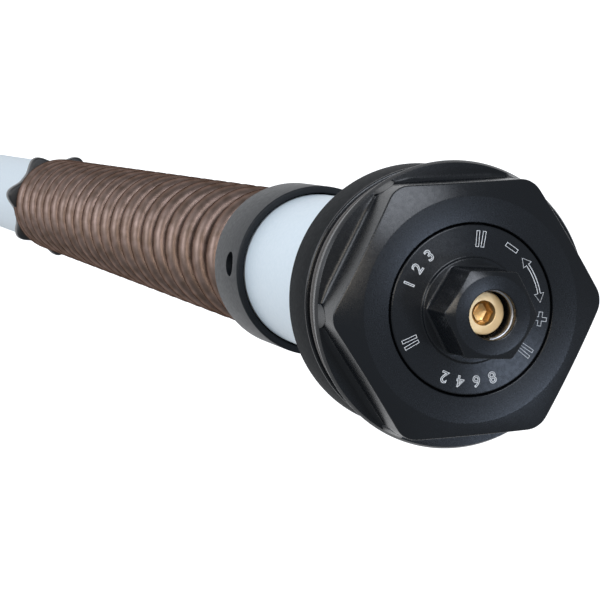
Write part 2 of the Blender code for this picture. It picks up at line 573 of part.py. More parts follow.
def build_damping_adjuster(body):
    """Add the brass screw with its key socket, and its seal."""
    key = hexagon(KEY_FLATS)
    seal_z = (SCREW_SHOULDER_Z + SCREW_BODY_END_Z) / 2.0
    key_floor = SCREW_FACE_Z - KEY_DEPTH
    profile = [(0.0, key_floor), (key, key_floor), (key, SCREW_FACE_Z), (SCREW_FACE_RADIUS, SCREW_FACE_Z)]
    profile += [(SCREW_FACE_RADIUS, SCREW_SHOULDER_Z), (SCREW_BODY_RADIUS, SCREW_SHOULDER_Z)]
    profile += seal_groove(SCREW_BODY_RADIUS, SCREW_SEAL_SECTION, seal_z)
    profile += [(SCREW_BODY_RADIUS, SCREW_BODY_END_Z), (SCREW_STEM_RADIUS, SCREW_BODY_END_Z)]
    profile += [(SCREW_STEM_RADIUS, SCREW_STEM_END_Z), (SCREW_TIP_RADIUS, SCREW_STEM_END_Z)]
    profile += [(SCREW_TIP_RADIUS, SCREW_TIP_END_Z), (0.0, SCREW_TIP_END_Z)]
    turned("damping_screw", profile, BRASS, body, SMALL_SEGMENTS)
    seal("screw_seal", SCREW_BODY_RADIUS, SCREW_SEAL_SECTION, seal_z, BLACK_RUBBER, body)


def build_needle(body):
    """Add the metering rod that the damping screw drives down the piston rod's bore."""
    socket_radius = SCREW_TIP_RADIUS + GAP
    sleeve_radius = ROD_BORE_RADIUS - GAP
    sleeve_end = NEEDLE_SOCKET_Z - sleeve_radius
    tip_z = ROD_END_Z + ROD_ORIFICE_LENGTH + NEEDLE_TRAVEL + GAP
    profile = [(0.0, NEEDLE_SOCKET_Z), (socket_radius, NEEDLE_SOCKET_Z), (socket_radius, NEEDLE_TOP_Z)]
    profile += [(sleeve_radius, NEEDLE_TOP_Z), (sleeve_radius, sleeve_end), (NEEDLE_RADIUS, sleeve_end)]
    profile += [(NEEDLE_RADIUS, tip_z + NEEDLE_TIP_LENGTH), (NEEDLE_TIP_RADIUS, tip_z), (0.0, tip_z)]
    turned("metering_rod", profile, BARE_ALUMINIUM, body, HOLE_SIDES)


def spring_points():
    """Return the centre line of the spring's wire, closed at both ends."""
    closed_pitch = WIRE_DIAMETER + CLOSED_COIL_GAP
    rise = SPRING_LENGTH - WIRE_DIAMETER
    active_pitch = (rise - 2.0 * CLOSED_COILS * closed_pitch) / ACTIVE_COILS
    coils = ACTIVE_COILS + 2.0 * CLOSED_COILS
    points = []
    for step in range(round(coils * POINTS_PER_COIL) + 1):
        turn = step / POINTS_PER_COIL
        drop = closed_pitch * min(turn, CLOSED_COILS)
        drop += active_pitch * min(max(turn - CLOSED_COILS, 0.0), ACTIVE_COILS)
        drop += closed_pitch * max(turn - CLOSED_COILS - ACTIVE_COILS, 0.0)
        angle = -math.tau * turn
        height = SPRING_TOP_Z - WIRE_DIAMETER / 2.0 - drop
        points.append(Vector((COIL_RADIUS * math.cos(angle), COIL_RADIUS * math.sin(angle), height)))
    return points


def least_gap(points, diameter):
    """Return the least gap between turns of a wire, measured on the points of its centre line."""
    half_coil = POINTS_PER_COIL // 2
    least = math.inf
    for index, point in enumerate(points):
        for other in points[index + half_coil:index + 3 * half_coil]:
            least = min(least, (point - other).length - diameter)
    return least


def build_spring(body):
    """Add the main spring as one unbroken tube."""
    points = spring_points()
    print(f"main_spring least gap between turns: {least_gap(points, WIRE_DIAMETER) * 1000.0:.2f} mm")
    curve = bpy.data.curves.new("main_spring", "CURVE")
    curve.dimensions = "3D"
    curve.bevel_depth = WIRE_DIAMETER / 2.0
    curve.bevel_resolution = 1
    curve.use_fill_caps = True
    spline = curve.splines.new("POLY")
    spline.points.add(len(points) - 1)
    for knot, point in zip(spline.points, points):
        knot.co = (*point, 1.0)
    place(bpy.data.objects.new("main_spring", curve), SPRING_STEEL, body)


def build_rod(body):
    """Add the piston rod and the pieces stacked on its lower end."""
    profile = [(ROD_BORE_RADIUS, ROD_TOP_Z), (ROD_RADIUS - EDGE, ROD_TOP_Z), (ROD_RADIUS, ROD_TOP_Z - EDGE)]
    profile += [(ROD_RADIUS, ROD_SHOULDER_Z), (ROD_SPIGOT_RADIUS, ROD_SHOULDER_Z)]
    profile += [(ROD_SPIGOT_RADIUS, ROD_END_Z), (ROD_ORIFICE_RADIUS, ROD_END_Z)]
    orifice_top = ROD_END_Z + ROD_ORIFICE_LENGTH
    profile += [(ROD_ORIFICE_RADIUS, orifice_top), (ROD_BORE_RADIUS, orifice_top)]
    turned("piston_rod", profile, GROUND_STEEL, body, SMALL_SEGMENTS)

    sleeve("top_out_ring", ROD_GUIDE_RADIUS, STOP_RADIUS, TOP_OUT_TOP_Z, ROD_SHOULDER_Z, BLACK_RUBBER,
           body, SMALL_SEGMENTS)
    sleeve("stop_washer", SHIM_BORE_RADIUS, STOP_RADIUS, STOP_WASHER_TOP_Z, STOP_WASHER_END_Z,
           GROUND_STEEL, body, SMALL_SEGMENTS)
    sleeve("rebound_shims", SHIM_BORE_RADIUS, SHIM_RADIUS, REBOUND_SHIMS_TOP_Z,
           REBOUND_SHIMS_TOP_Z - SHIM_STACK, GROUND_STEEL, body, SMALL_SEGMENTS)
    sleeve("compression_shims", SHIM_BORE_RADIUS, SHIM_RADIUS, COMPRESSION_SHIMS_TOP_Z,
           COMPRESSION_SHIMS_TOP_Z - SHIM_STACK, GROUND_STEEL, body, SMALL_SEGMENTS)
    sleeve("piston_nut", SHIM_BORE_RADIUS, hexagon(PISTON_NUT_FLATS), PISTON_NUT_TOP_Z, PISTON_NUT_END_Z,
           GROUND_STEEL, body, SMALL_SEGMENTS)

    middle = (PISTON_TOP_Z + PISTON_END_Z) / 2.0
    half_band = PISTON_BAND_WIDTH / 2.0
    band_root = PLUG_RADIUS - PISTON_BAND_DEPTH
    profile = [(SHIM_BORE_RADIUS, PISTON_TOP_Z), (PLUG_RADIUS, PISTON_TOP_Z)]
    profile += groove(PLUG_RADIUS, band_root, middle + half_band, middle - half_band)
    profile += [(PLUG_RADIUS, PISTON_END_Z), (SHIM_BORE_RADIUS, PISTON_END_Z)]
    piston = turned("piston", profile, BARE_ALUMINIUM, body)
    drill(piston, "piston_ports", ring_of_places(PORT_CIRCLE, PORT_COUNT, middle), (0.0, 0.0, 1.0),
          PORT_RADIUS, PISTON_LENGTH + 2.0 * CUT_OVERRUN)
    sleeve("piston_band", band_root + GAP, PLUG_RADIUS, middle + half_band - GAP, middle - half_band + GAP,
           PALE_PLASTIC, body)


def build_seal_head(body):
    """Add the spring's lobed seat and the head that closes the damper's top."""
    lobe_rim = lobed(SEAT_RADIUS, LOBE_HEIGHT)
    lobe_face = lobed(SEAT_RADIUS - EDGE, LOBE_HEIGHT)
    spigot_top = SEAT_TOP_Z + SPIGOT_LENGTH
    profile = [(SEAT_BORE_RADIUS, spigot_top), (SPIGOT_RADIUS - EDGE, spigot_top)]
    profile += [(SPIGOT_RADIUS, spigot_top - EDGE), (SPIGOT_RADIUS, SEAT_TOP_Z), (lobe_face, SEAT_TOP_Z)]
    profile += [(lobe_rim, SEAT_TOP_Z - EDGE), (lobe_rim, SEAT_END_Z), (SEAT_BORE_RADIUS, SEAT_END_Z)]
    seat = turned("spring_seat", profile, BLACK_PLASTIC, body, LOBE_COUNT * SEGMENTS_PER_LOBE)
    seat.rotation_euler.z = math.radians(LOBE_ANGLE)

    seal_floor = NECK_TOP_Z - ROD_SEAL_LENGTH - GAP
    bush_top = HEAD_END_Z + ROD_BUSH_LENGTH + GAP
    seal_z = (HEAD_FLANGE_END_Z + HEAD_END_Z) / 2.0
    profile = [(SEAL_POCKET_RADIUS, NECK_TOP_Z), (NECK_RADIUS, NECK_TOP_Z), (NECK_RADIUS, HEAD_FLANGE_TOP_Z)]
    profile += [(DAMPER_RADIUS, HEAD_FLANGE_TOP_Z), (DAMPER_RADIUS, HEAD_FLANGE_END_Z)]
    profile += [(PLUG_RADIUS, HEAD_FLANGE_END_Z)]
    profile += seal_groove(PLUG_RADIUS, PLUG_SEAL_SECTION, seal_z)
    profile += [(PLUG_RADIUS, HEAD_END_Z), (BUSH_POCKET_RADIUS, HEAD_END_Z), (BUSH_POCKET_RADIUS, bush_top)]
    profile += [(ROD_GUIDE_RADIUS, bush_top), (ROD_GUIDE_RADIUS, seal_floor)]
    profile += [(SEAL_POCKET_RADIUS, seal_floor)]
    turned("seal_head", profile, BLACK_ANODISED, body)
    sleeve("rod_seal", ROD_GUIDE_RADIUS, SEAL_POCKET_RADIUS - GAP, NECK_TOP_Z, seal_floor + GAP,
           BLACK_RUBBER, body, SMALL_SEGMENTS)
    sleeve("rod_bush", ROD_GUIDE_RADIUS, BUSH_POCKET_RADIUS - GAP, bush_top - GAP, HEAD_END_Z,
           BRASS, body, SMALL_SEGMENTS)
    seal("head_seal", PLUG_RADIUS, PLUG_SEAL_SECTION, seal_z, BLACK_RUBBER, body)


def build_damper(body):
    """Add the damper tube, the base valve inside it and the plug that closes its foot."""
    tube = sleeve("damper_tube", DAMPER_BORE_RADIUS, DAMPER_RADIUS, DAMPER_TOP_Z, DAMPER_END_Z,
                  CLEAR_ANODISED, body)
    for index in range(OIL_HOLE_COUNT // 2):
        angle = math.tau * index / OIL_HOLE_COUNT
        drill(tube, f"oil_holes_{index + 1}", [Vector((0.0, 0.0, OIL_HOLE_Z))],
              (math.cos(angle), math.sin(angle), 0.0), OIL_HOLE_RADIUS, 2.0 * (DAMPER_RADIUS + CUT_OVERRUN))

    head = hexagon(VALVE_BOLT_HEAD_FLATS)
    head_end = BOLT_TOP_Z - VALVE_BOLT_HEAD_HEIGHT
    profile = [(0.0, BOLT_TOP_Z), (head, BOLT_TOP_Z), (head, head_end), (VALVE_BOLT_RADIUS, head_end)]
    profile += [(VALVE_BOLT_RADIUS, BOLT_END_Z), (0.0, BOLT_END_Z)]
    turned("valve_bolt", profile, GROUND_STEEL, body, SMALL_SEGMENTS)
    valve = sleeve("base_valve", VALVE_BORE_RADIUS, PLUG_RADIUS, VALVE_TOP_Z, VALVE_END_Z, BARE_ALUMINIUM,
                   body)
    valve_middle = (VALVE_TOP_Z + VALVE_END_Z) / 2.0
    drill(valve, "base_valve_ports", ring_of_places(PORT_CIRCLE, PORT_COUNT, valve_middle), (0.0, 0.0, 1.0),
          PORT_RADIUS, VALVE_LENGTH + 2.0 * CUT_OVERRUN)
    sleeve("base_shims", VALVE_BORE_RADIUS, SHIM_RADIUS, BASE_SHIMS_TOP_Z, BASE_SHIMS_TOP_Z - SHIM_STACK,
           GROUND_STEEL, body, SMALL_SEGMENTS)

    seal_z = (PLUG_TOP_Z + PLUG_FLANGE_TOP_Z) / 2.0
    foot_floor = FOOT_END_Z + FOOT_HOLE_DEPTH
    profile = [(0.0, BOLT_END_Z - GAP), (VALVE_BORE_RADIUS, BOLT_END_Z - GAP)]
    profile += [(VALVE_BORE_RADIUS, PLUG_BOSS_TOP_Z), (PLUG_BOSS_RADIUS, PLUG_BOSS_TOP_Z)]
    profile += [(PLUG_BOSS_RADIUS, PLUG_TOP_Z), (PLUG_RADIUS, PLUG_TOP_Z)]
    profile += seal_groove(PLUG_RADIUS, PLUG_SEAL_SECTION, seal_z)
    profile += [(PLUG_RADIUS, PLUG_FLANGE_TOP_Z), (DAMPER_RADIUS, PLUG_FLANGE_TOP_Z)]
    profile += [(DAMPER_RADIUS, PLUG_FLANGE_END_Z), (FOOT_RADIUS, PLUG_FLANGE_END_Z)]
    profile += [(FOOT_RADIUS, FOOT_END_Z + EDGE), (FOOT_RADIUS - EDGE, FOOT_END_Z)]
    profile += [(FOOT_HOLE_RADIUS, FOOT_END_Z), (FOOT_HOLE_RADIUS, foot_floor), (0.0, foot_floor)]
    turned("base_plug", profile, BLACK_ANODISED, body)
    seal("plug_seal", PLUG_RADIUS, PLUG_SEAL_SECTION, seal_z, BLACK_RUBBER, body)


def main():
    """Build the cartridge, body by body."""
    clear_scene()
    cap = make_body("cap")
    build_cap(cap)
    build_rod_holder(cap)
    build_spring(cap)
    build_rod(cap)
    build_preload_adjuster(make_body("preload_adjuster"))
    build_preload_slider(make_body("preload_slider"))
    build_damping_adjuster(make_body("damping_adjuster"))
    build_needle(make_body("needle"))
    damper = make_body("damper")
    build_seal_head(damper)
    build_damper(damper)


if __name__ == "__main__":
    main()
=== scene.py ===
"""Fork cartridge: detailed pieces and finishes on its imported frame, a plain studio and the camera."""

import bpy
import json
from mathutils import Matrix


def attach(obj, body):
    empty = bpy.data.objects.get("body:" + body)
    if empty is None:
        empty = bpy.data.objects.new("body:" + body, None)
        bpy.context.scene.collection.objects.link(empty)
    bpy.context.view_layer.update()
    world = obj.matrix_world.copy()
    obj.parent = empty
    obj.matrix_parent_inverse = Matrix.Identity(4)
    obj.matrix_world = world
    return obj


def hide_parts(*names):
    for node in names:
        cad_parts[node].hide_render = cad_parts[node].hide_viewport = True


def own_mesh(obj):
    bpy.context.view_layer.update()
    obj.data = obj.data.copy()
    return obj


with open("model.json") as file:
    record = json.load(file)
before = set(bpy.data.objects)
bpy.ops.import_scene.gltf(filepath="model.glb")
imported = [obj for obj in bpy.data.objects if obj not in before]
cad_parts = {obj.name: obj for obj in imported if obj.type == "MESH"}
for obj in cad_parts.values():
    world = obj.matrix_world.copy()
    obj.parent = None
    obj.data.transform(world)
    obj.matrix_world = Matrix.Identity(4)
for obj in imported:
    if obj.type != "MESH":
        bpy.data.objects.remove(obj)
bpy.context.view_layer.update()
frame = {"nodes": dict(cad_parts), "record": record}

import json
import logging
import math
from collections.abc import Callable
from dataclasses import dataclass
from enum import Enum

import bmesh
import bpy
from bpy.types import Material, Mesh, Node, NodeOutputs, NodeSocket, NodeTree, Object
from mathutils import Matrix, Vector

LOG = logging.getLogger("fork_cartridge")

# Radius and height of a point on a turned profile
Point = tuple[float, float]
# Radius, height and size of the round at a corner of a turned profile
Corner = tuple[float, float, float]
Column = Callable[[float], list[Point]]
# The two ends of a range
Span = tuple[float, float]
Inputs = dict[str | int, object]

# Sizes are in millimetres, and meshes in metres
MM = 0.001
GAP = 0.3
TINY = 1e-6
# Steps in a round, and the most of an edge that a round may take
FILLET_STEPS = 4
FILLET_ROOM = 0.45
SMOOTH_ANGLE = math.radians(33.0)
HEX_SIDES = 6
HEX_STEP = math.tau / HEX_SIDES
# Columns on each flat of a hexagon or lobe of the seat, and on each rounded corner
FLAT_STEPS = 30
CORNER_STEPS = 8
# Columns in a full turn of the cap, of other pieces, and of small ones
CAP_SEGMENTS = 360
ROUND_SEGMENTS = 144
SMALL_SEGMENTS = 72
# Sides of the section of a ring, of a thread's ridge and of a drawn line
RING_SIDES = 20
RIDGE_SIDES = 4
LINE_SIDES = 8
# How far a drill passes the wall that it goes through
DRILL_MARGIN = 1.0
# Closed turns at each end of the spring
CLOSED_TURNS = 1.0
# Rounds on turned edges, from none to a full one
SHARP = 0.0
FINE = 0.1
BROKEN = 0.2
EASED = 0.25
SOFT = 0.3
SMOOTH = 0.4
ROUND = 0.5
FULL = 0.6
# A Wave texture repeats each tau / 20 of its own units
WAVE_PERIOD = math.tau / 20.0
# A shader's quarter turn, which sets the gloss across the tool marks
QUARTER_TURN = 0.25
# The whole reach of a texture's strength
WHOLE = (0.0, 1.0)
# The colour sockets of a Mix node, by number, because its other kinds have the same names
MIX_SHARE = 0
MIX_FIRST = 6
MIX_SECOND = 7
MIX_RESULT = 2


class Body(Enum):
    """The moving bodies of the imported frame."""

    CAP = "cap"
    PRELOAD_ADJUSTER = "preload_adjuster"
    PRELOAD_SLIDER = "preload_slider"
    DAMPING_ADJUSTER = "damping_adjuster"
    DAMPER = "damper"


class Slot(Enum):
    """The record's material slots."""

    BLACK_ANODISED = "black_anodised"
    CLEAR_ANODISED = "clear_anodised"
    BARE_ALUMINIUM = "bare_aluminium"
    STEEL = "steel"
    CHROMED_ROD = "chromed_rod"
    SPRING_STEEL = "spring_steel"
    BRASS = "brass"
    BLACK_PLASTIC = "black_plastic"
    PALE_PLASTIC = "pale_plastic"
    BLACK_RUBBER = "black_rubber"


class Sign(Enum):
    """The signs marked on the dial."""

    LESS = "less"
    MORE = "more"
    ARROW = "arrow"


def linear_colour(code: str) -> tuple[float, float, float, float]:
    """Turn an sRGB hex colour to linear.

    Args:
        code: six hex digits after a hash sign.

    Returns:
        Linear red, green and blue, with full alpha.
    """
    # The bare numbers here are those of the sRGB curve
    channels = []
    for start in (1, 3, 5):
        value = int(code[start:start + 2], 16) / 255.0
        channels.append(value / 12.92 if value <= 0.04045 else ((value + 0.055) / 1.055) ** 2.4)
    return (channels[0], channels[1], channels[2], 1.0)


def add_node(tree: NodeTree, kind: str, inputs: Inputs | None = None, **settings: object) -> Node:
    """Add a node, set its properties and fill or link its inputs.

    Args:
        tree: the tree that gets the node.
        kind: the node's type.
        inputs: a value, or another node's output, for each input by its name or number.
        settings: properties of the node itself.

    Returns:
        The new node.
    """
    node = tree.nodes.new(kind)
    for name, value in settings.items():
        setattr(node, name, value)
    for socket, value in (inputs or {}).items():
        if isinstance(value, NodeSocket):
            tree.links.new(value, node.inputs[socket])
        else:
            node.inputs[socket].default_value = value
    return node


def calculate(tree: NodeTree, operation: str, *values: object) -> NodeSocket:
    """Add a Math node on the values and return its result."""
    return add_node(tree, "ShaderNodeMath", dict(enumerate(values)), operation=operation).outputs[0]


def vector(tree: NodeTree, **axes: object) -> NodeSocket:
    """Add a vector from what its X, Y and Z are given, and return it."""
    return add_node(tree, "ShaderNodeCombineXYZ", axes).outputs["Vector"]


def map_range(
    tree: NodeTree, value: NodeSocket, given: tuple[object, object], wanted: tuple[object, object]
) -> NodeSocket:
    """Stretch a value from the range that it has to the one that is wanted, without passing its ends."""
    inputs = {"Value": value, "From Min": given[0], "From Max": given[1]}
    inputs |= {"To Min": wanted[0], "To Max": wanted[1]}
    return add_node(tree, "ShaderNodeMapRange", inputs).outputs[0]


def noise(tree: NodeTree, grain_mm: float, detail: float) -> NodeSocket:
    """Add a noise in the piece's own space, with a grain of the given size, and return its strength."""
    place = add_node(tree, "ShaderNodeTexCoord").outputs["Object"]
    inputs = {"Vector": place, "Scale": 1.0 / (grain_mm * MM), "Detail": detail}
    return add_node(tree, "ShaderNodeTexNoise", inputs).outputs["Fac"]


def new_material(name: str) -> tuple[Material, NodeTree, Node]:
    """Add a material, and return it with its node tree and its main shader."""
    material = bpy.data.materials.new(name)
    material.use_nodes = True
    tree = material.node_tree
    return material, tree, tree.nodes["Principled BSDF"]


@dataclass(frozen=True)
class Finish:
    """A surface of two close tones, with a satin that varies and a fine relief."""

    name: str
    colour: str
    second_colour: str
    roughness: float
    spread: float = 0.06
    relief: float = 0.6

    def satin(self, tree: NodeTree, pattern: NodeSocket, reach: Span = WHOLE) -> NodeSocket:
        """Vary the roughness over the given reach of a pattern, and return it."""
        return map_range(tree, pattern, reach, (self.roughness - self.spread, self.roughness + self.spread))

    def cover(
        self, tree: NodeTree, tones: NodeSocket, satin: NodeSocket, height: NodeSocket, depth_mm: float
    ) -> None:
        """Link the tones, the satin and the relief to the main shader.

        Args:
            tree: the material's tree.
            tones: the share of the second colour.
            satin: the roughness.
            height: the pattern of the relief.
            depth_mm: the depth of the relief.
        """
        shader = tree.nodes["Principled BSDF"]
        colours = {MIX_SHARE: tones, MIX_FIRST: linear_colour(self.colour),
                   MIX_SECOND: linear_colour(self.second_colour)}
        tone = add_node(tree, "ShaderNodeMix", colours, data_type="RGBA")
        shape = {"Height": height, "Strength": self.relief, "Distance": depth_mm * MM}
        bump = add_node(tree, "ShaderNodeBump", shape)
        tree.links.new(tone.outputs[MIX_RESULT], shader.inputs["Base Color"])
        tree.links.new(satin, shader.inputs["Roughness"])
        tree.links.new(bump.outputs["Normal"], shader.inputs["Normal"])


@dataclass(frozen=True)
class MetalFinish(Finish):
    """A turned metal surface, with faint tool marks in rings on its faces and in bands on its sides.

    The marks are drawn coarser than a real tool's feed of about 0.1 mm, so that they show in the render.
    """

    metallic: float = 1.0
    grain_mm: float = 0.8
    grain_detail: float = 4.0
    grain_reach: Span = (0.3, 0.7)
    turning_mm: float = 0.9
    turning_depth_mm: float = 0.002
    turning_wander: float = 0.4
    specular: float = 0.5
    anisotropy: float = 0.0

    def material(self) -> Material:
        """Make the material."""
        material, tree, shader = new_material(self.name)
        grain = noise(tree, self.grain_mm, self.grain_detail)
        waves = {"Vector": add_node(tree, "ShaderNodeTexCoord").outputs["Object"],
                 "Scale": WAVE_PERIOD / (self.turning_mm * MM), "Distortion": self.turning_wander}
        rings = add_node(tree, "ShaderNodeTexWave", waves, wave_type="RINGS", rings_direction="Z")
        bands = add_node(tree, "ShaderNodeTexWave", waves, wave_type="BANDS", bands_direction="Z")
        marks = calculate(tree, "ADD", rings.outputs["Fac"], bands.outputs["Fac"])
        self.cover(tree, grain, self.satin(tree, grain, self.grain_reach), marks, self.turning_depth_mm)
        shader.inputs["Metallic"].default_value = self.metallic
        shader.inputs["Specular IOR Level"].default_value = self.specular
        if self.anisotropy > 0.0:
            around = add_node(tree, "ShaderNodeTangent", direction_type="RADIAL", axis="Z")
            tree.links.new(around.outputs["Tangent"], shader.inputs["Tangent"])
            shader.inputs["Anisotropic"].default_value = self.anisotropy
            shader.inputs["Anisotropic Rotation"].default_value = QUARTER_TURN
        return material


@dataclass(frozen=True)
class WireFinish(Finish):
    """Oil-tempered wire: a brown oxide skin with darker patches and fine pits, and a dark tint on its
    glancing reflection that is painted shade where the coils hide each other.
    """

    spread: float = 0.08
    relief: float = 0.5
    # A dark tint on the glancing reflection: painted shade along the edges of each coil
    painted_edge_shade: str = "#30241e"
    patch_mm: float = 2.5
    patch_detail: float = 5.0
    patch_reach: Span = (0.35, 0.65)
    pit_mm: float = 0.25
    pit_detail: float = 2.0
    pit_depth_mm: float = 0.01

    def material(self) -> Material:
        """Make the material."""
        material, tree, shader = new_material(self.name)
        patches = map_range(tree, noise(tree, self.patch_mm, self.patch_detail), self.patch_reach, WHOLE)
        pits = noise(tree, self.pit_mm, self.pit_detail)
        self.cover(tree, patches, self.satin(tree, pits), pits, self.pit_depth_mm)
        shader.inputs["Metallic"].default_value = 1.0
        shader.inputs["Specular Tint"].default_value = linear_colour(self.painted_edge_shade)
        return material


@dataclass(frozen=True)
class MouldedFinish(Finish):
    """Moulded rubber or plastic: a close matt grain over one tone that drifts a little."""

    spread: float = 0.1
    relief: float = 0.5
    grain_mm: float = 0.4
    grain_detail: float = 3.0
    grain_depth_mm: float = 0.01

    def material(self) -> Material:
        """Make the material."""
        material, tree, _ = new_material(self.name)
        grain = noise(tree, self.grain_mm, self.grain_detail)
        self.cover(tree, grain, self.satin(tree, grain), grain, self.grain_depth_mm)
        return material


FINISHES = {
    # Dyed oxide on turned aluminium: near black, satin, and bright only where a lamp glances off it
    Slot.BLACK_ANODISED: MetalFinish(
        "black_anodised_aluminium", "#0d1014", "#090c10", roughness=0.27, spread=0.03, metallic=0.0,
        turning_depth_mm=0.0006, specular=0.38, anisotropy=0.7),
    # Clear oxide on blasted aluminium: pale, even and silky, with a cool cast
    Slot.CLEAR_ANODISED: MetalFinish(
        "clear_anodised_aluminium", "#cfdae1", "#c5d2da", roughness=0.45, spread=0.05, metallic=0.0,
        turning_mm=0.5),
    # Bare turned aluminium: grey metal with rings from the tool
    Slot.BARE_ALUMINIUM: MetalFinish(
        "turned_aluminium", "#c9ccd0", "#b9bdc2", roughness=0.36, grain_mm=1.2, turning_mm=0.4,
        turning_depth_mm=0.008),
    # Ground steel: neutral grey metal, a shade darker than the aluminium and with finer marks
    Slot.STEEL: MetalFinish(
        "ground_steel", "#b4b6b9", "#a2a4a8", roughness=0.38, turning_mm=0.3, turning_depth_mm=0.004),
    # Hard chrome over ground steel: a mirror with hardly a mark
    Slot.CHROMED_ROD: MetalFinish(
        "hard_chromed_steel", "#c6c8cb", "#bcbfc3", roughness=0.09, spread=0.03, grain_mm=2.0, turning_mm=0.6,
        turning_depth_mm=0.0005),
    # Oil-tempered spring wire: brown skin, dull between the highlights, with painted shade along the edges of
    # each coil
    Slot.SPRING_STEEL: WireFinish("oil_tempered_wire", "#68584f", "#7e6c64", roughness=0.45),
    # Turned brass: warm yellow with rings on its face, half dull where fine scratches scatter the light
    Slot.BRASS: MetalFinish(
        "turned_brass", "#ffe3b2", "#fbd69e", roughness=0.36, metallic=0.4, grain_mm=0.6, turning_mm=0.25,
        turning_depth_mm=0.003),
    # Moulded acetal: black, even and slightly waxy
    Slot.BLACK_PLASTIC: MouldedFinish("moulded_acetal", "#17181a", "#101112", roughness=0.45),
    # Sliding band cut from filled resin strip: tan and matt
    Slot.PALE_PLASTIC: MouldedFinish(
        "filled_resin_strip", "#c4ae88", "#b19a74", roughness=0.55, grain_mm=0.5, grain_depth_mm=0.02),
    # Moulded nitrile rubber: brown black and dull
    Slot.BLACK_RUBBER: MouldedFinish(
        "moulded_nitrile_rubber", "#35302c", "#272321", roughness=0.55, grain_mm=0.3),
}
# The black dye on a blasted surface: as dark, but dull even where it is seen edge on
BLACK_BLASTED = MetalFinish(
    "blasted_black_aluminium", "#0d1013", "#090c0f", roughness=0.66, spread=0.04, metallic=0.0, specular=0.06)
# The black dye on a plain satin surface: a soft cool sheen along the side that faces the light
BLACK_SATIN = MetalFinish(
    "satin_black_aluminium", "#14181c", "#101418", roughness=0.5, spread=0.04, metallic=0.0, specular=0.2)
# Brass inside the key socket: the same metal, painted darker as shade in the recess
SOCKET_BRASS_PAINTED_SHADE = MetalFinish(
    "socket_brass_painted_shade", "#dab884", "#b8955f", roughness=0.34, grain_mm=0.6, turning_mm=0.5)
# Laser mark: the dye burnt off in thin lines, pale and dull
LASER_MARK = MouldedFinish(
    "laser_marked_oxide", "#dfe2e5", "#cfd3d7", roughness=0.6, grain_mm=0.2, grain_depth_mm=0.004)


def rounded(corners: list[Corner]) -> list[Point]:
    """Round the corners of a closed profile.

    Args:
        corners: radius, height and size of the round at each corner.

    Returns:
        The profile's points; the number depends only on which corners have a round.
    """
    points = []
    for index, (radius, height, fillet) in enumerate(corners):
        if fillet <= 0.0:
            points.append((radius, height))
            continue
        here = Vector((radius, height))
        to_last = Vector(corners[index - 1][:2]) - here
        to_next = Vector(corners[(index + 1) % len(corners)][:2]) - here
        room = FILLET_ROOM * min(to_last.length, to_next.length)
        if room < TINY:
            points.extend([(radius, height)] * (FILLET_STEPS + 1))
            continue
        reach = min(fillet / math.tan(to_last.angle(to_next) / 2.0), room)
        start = here + to_last.normalized() * reach
        end = here + to_next.normalized() * reach
        for step in range(FILLET_STEPS + 1):
            share = step / FILLET_STEPS
            spot = start * (1.0 - share) ** 2 + here * 2.0 * share * (1.0 - share) + end * share ** 2
            points.append((spot.x, spot.y))
    return points


def wall_corners(
    bore: float, radius: float, top: float, end: float, inner: float, outer: float
) -> list[Corner]:
    """Return the corners of a plain tube, with the rounds of its inner and its outer edges."""
    return [(bore, top, inner), (radius, top, outer), (radius, end, outer), (bore, end, inner)]


def groove(mouth: float, root: float, first: float, last: float) -> list[Corner]:
    """Return the corners of a square groove, from its first edge to its last."""
    return [(mouth, first, SHARP), (root, first, SHARP), (root, last, SHARP), (mouth, last, SHARP)]


def seal_groove(radius: float, section: float, middle: float) -> list[Corner]:
    """Return the corners of the groove for a round seal in an outer wall, from its upper edge down."""
    half = section / 2.0 + GAP
    return groove(radius, radius - section - GAP, middle + half, middle - half)


def circle_profile(radius: float, height: float, section: float) -> list[Point]:
    """Return the round section of a ring, given its middle radius and height."""
    points = []
    for side in range(RING_SIDES):
        turn = math.tau * side / RING_SIDES
        points.append((radius + section / 2.0 * math.cos(turn), height + section / 2.0 * math.sin(turn)))
    return points


def smooth_min(first: float, second: float, blend: float) -> float:
    """Return the smaller of two sizes, a little less where they are closer than the blend."""
    overlap = max(blend - abs(first - second), 0.0) / blend
    return min(first, second) - overlap * overlap * blend / 4.0


def round_angles(count: int = ROUND_SEGMENTS) -> list[float]:
    """Return evenly spaced column angles for a full turn."""
    return [math.tau * step / count for step in range(count)]


@dataclass(frozen=True)
class Hexagon:
    """A hexagon with rounded corners, one of them at a given angle."""

    flats: float
    fillet: float
    turn: float = 0.0

    def corner_centre(self) -> float:
        """Return how far out the middle of a corner's round lies."""
        return (self.flats / 2.0 - self.fillet) / math.cos(HEX_STEP / 2.0)

    def flat_half(self) -> float:
        """Return half the angle that a flat takes up."""
        return math.atan2(self.corner_centre() * math.sin(HEX_STEP / 2.0), self.flats / 2.0)

    def angles(self) -> list[float]:
        """Space the columns of a full turn so that each flat and each corner gets its own."""
        angles = []
        flat_half = self.flat_half()
        for index in range(HEX_SIDES):
            middle = self.turn + HEX_STEP * (index + 0.5)
            for step in range(FLAT_STEPS):
                angles.append(middle + flat_half * (2.0 * step / FLAT_STEPS - 1.0))
            for step in range(CORNER_STEPS):
                angles.append(middle + flat_half + (HEX_STEP - 2.0 * flat_half) * step / CORNER_STEPS)
        return angles

    def radius(self, angle: float) -> float:
        """Return the radius at an angle."""
        from_flat = (angle - self.turn) % HEX_STEP - HEX_STEP / 2.0
        if abs(from_flat) <= self.flat_half():
            return self.flats / 2.0 / math.cos(from_flat)
        from_corner = HEX_STEP / 2.0 - abs(from_flat)
        centre = self.corner_centre()
        aside = centre * math.sin(from_corner)
        return centre * math.cos(from_corner) + math.sqrt(self.fillet ** 2 - aside ** 2)


def smooth(mesh: Mesh) -> Mesh:
    """Shade a mesh smooth, apart from its real edges."""
    mesh.shade_smooth()
    mesh.set_sharp_from_angle(angle=SMOOTH_ANGLE)
    return mesh


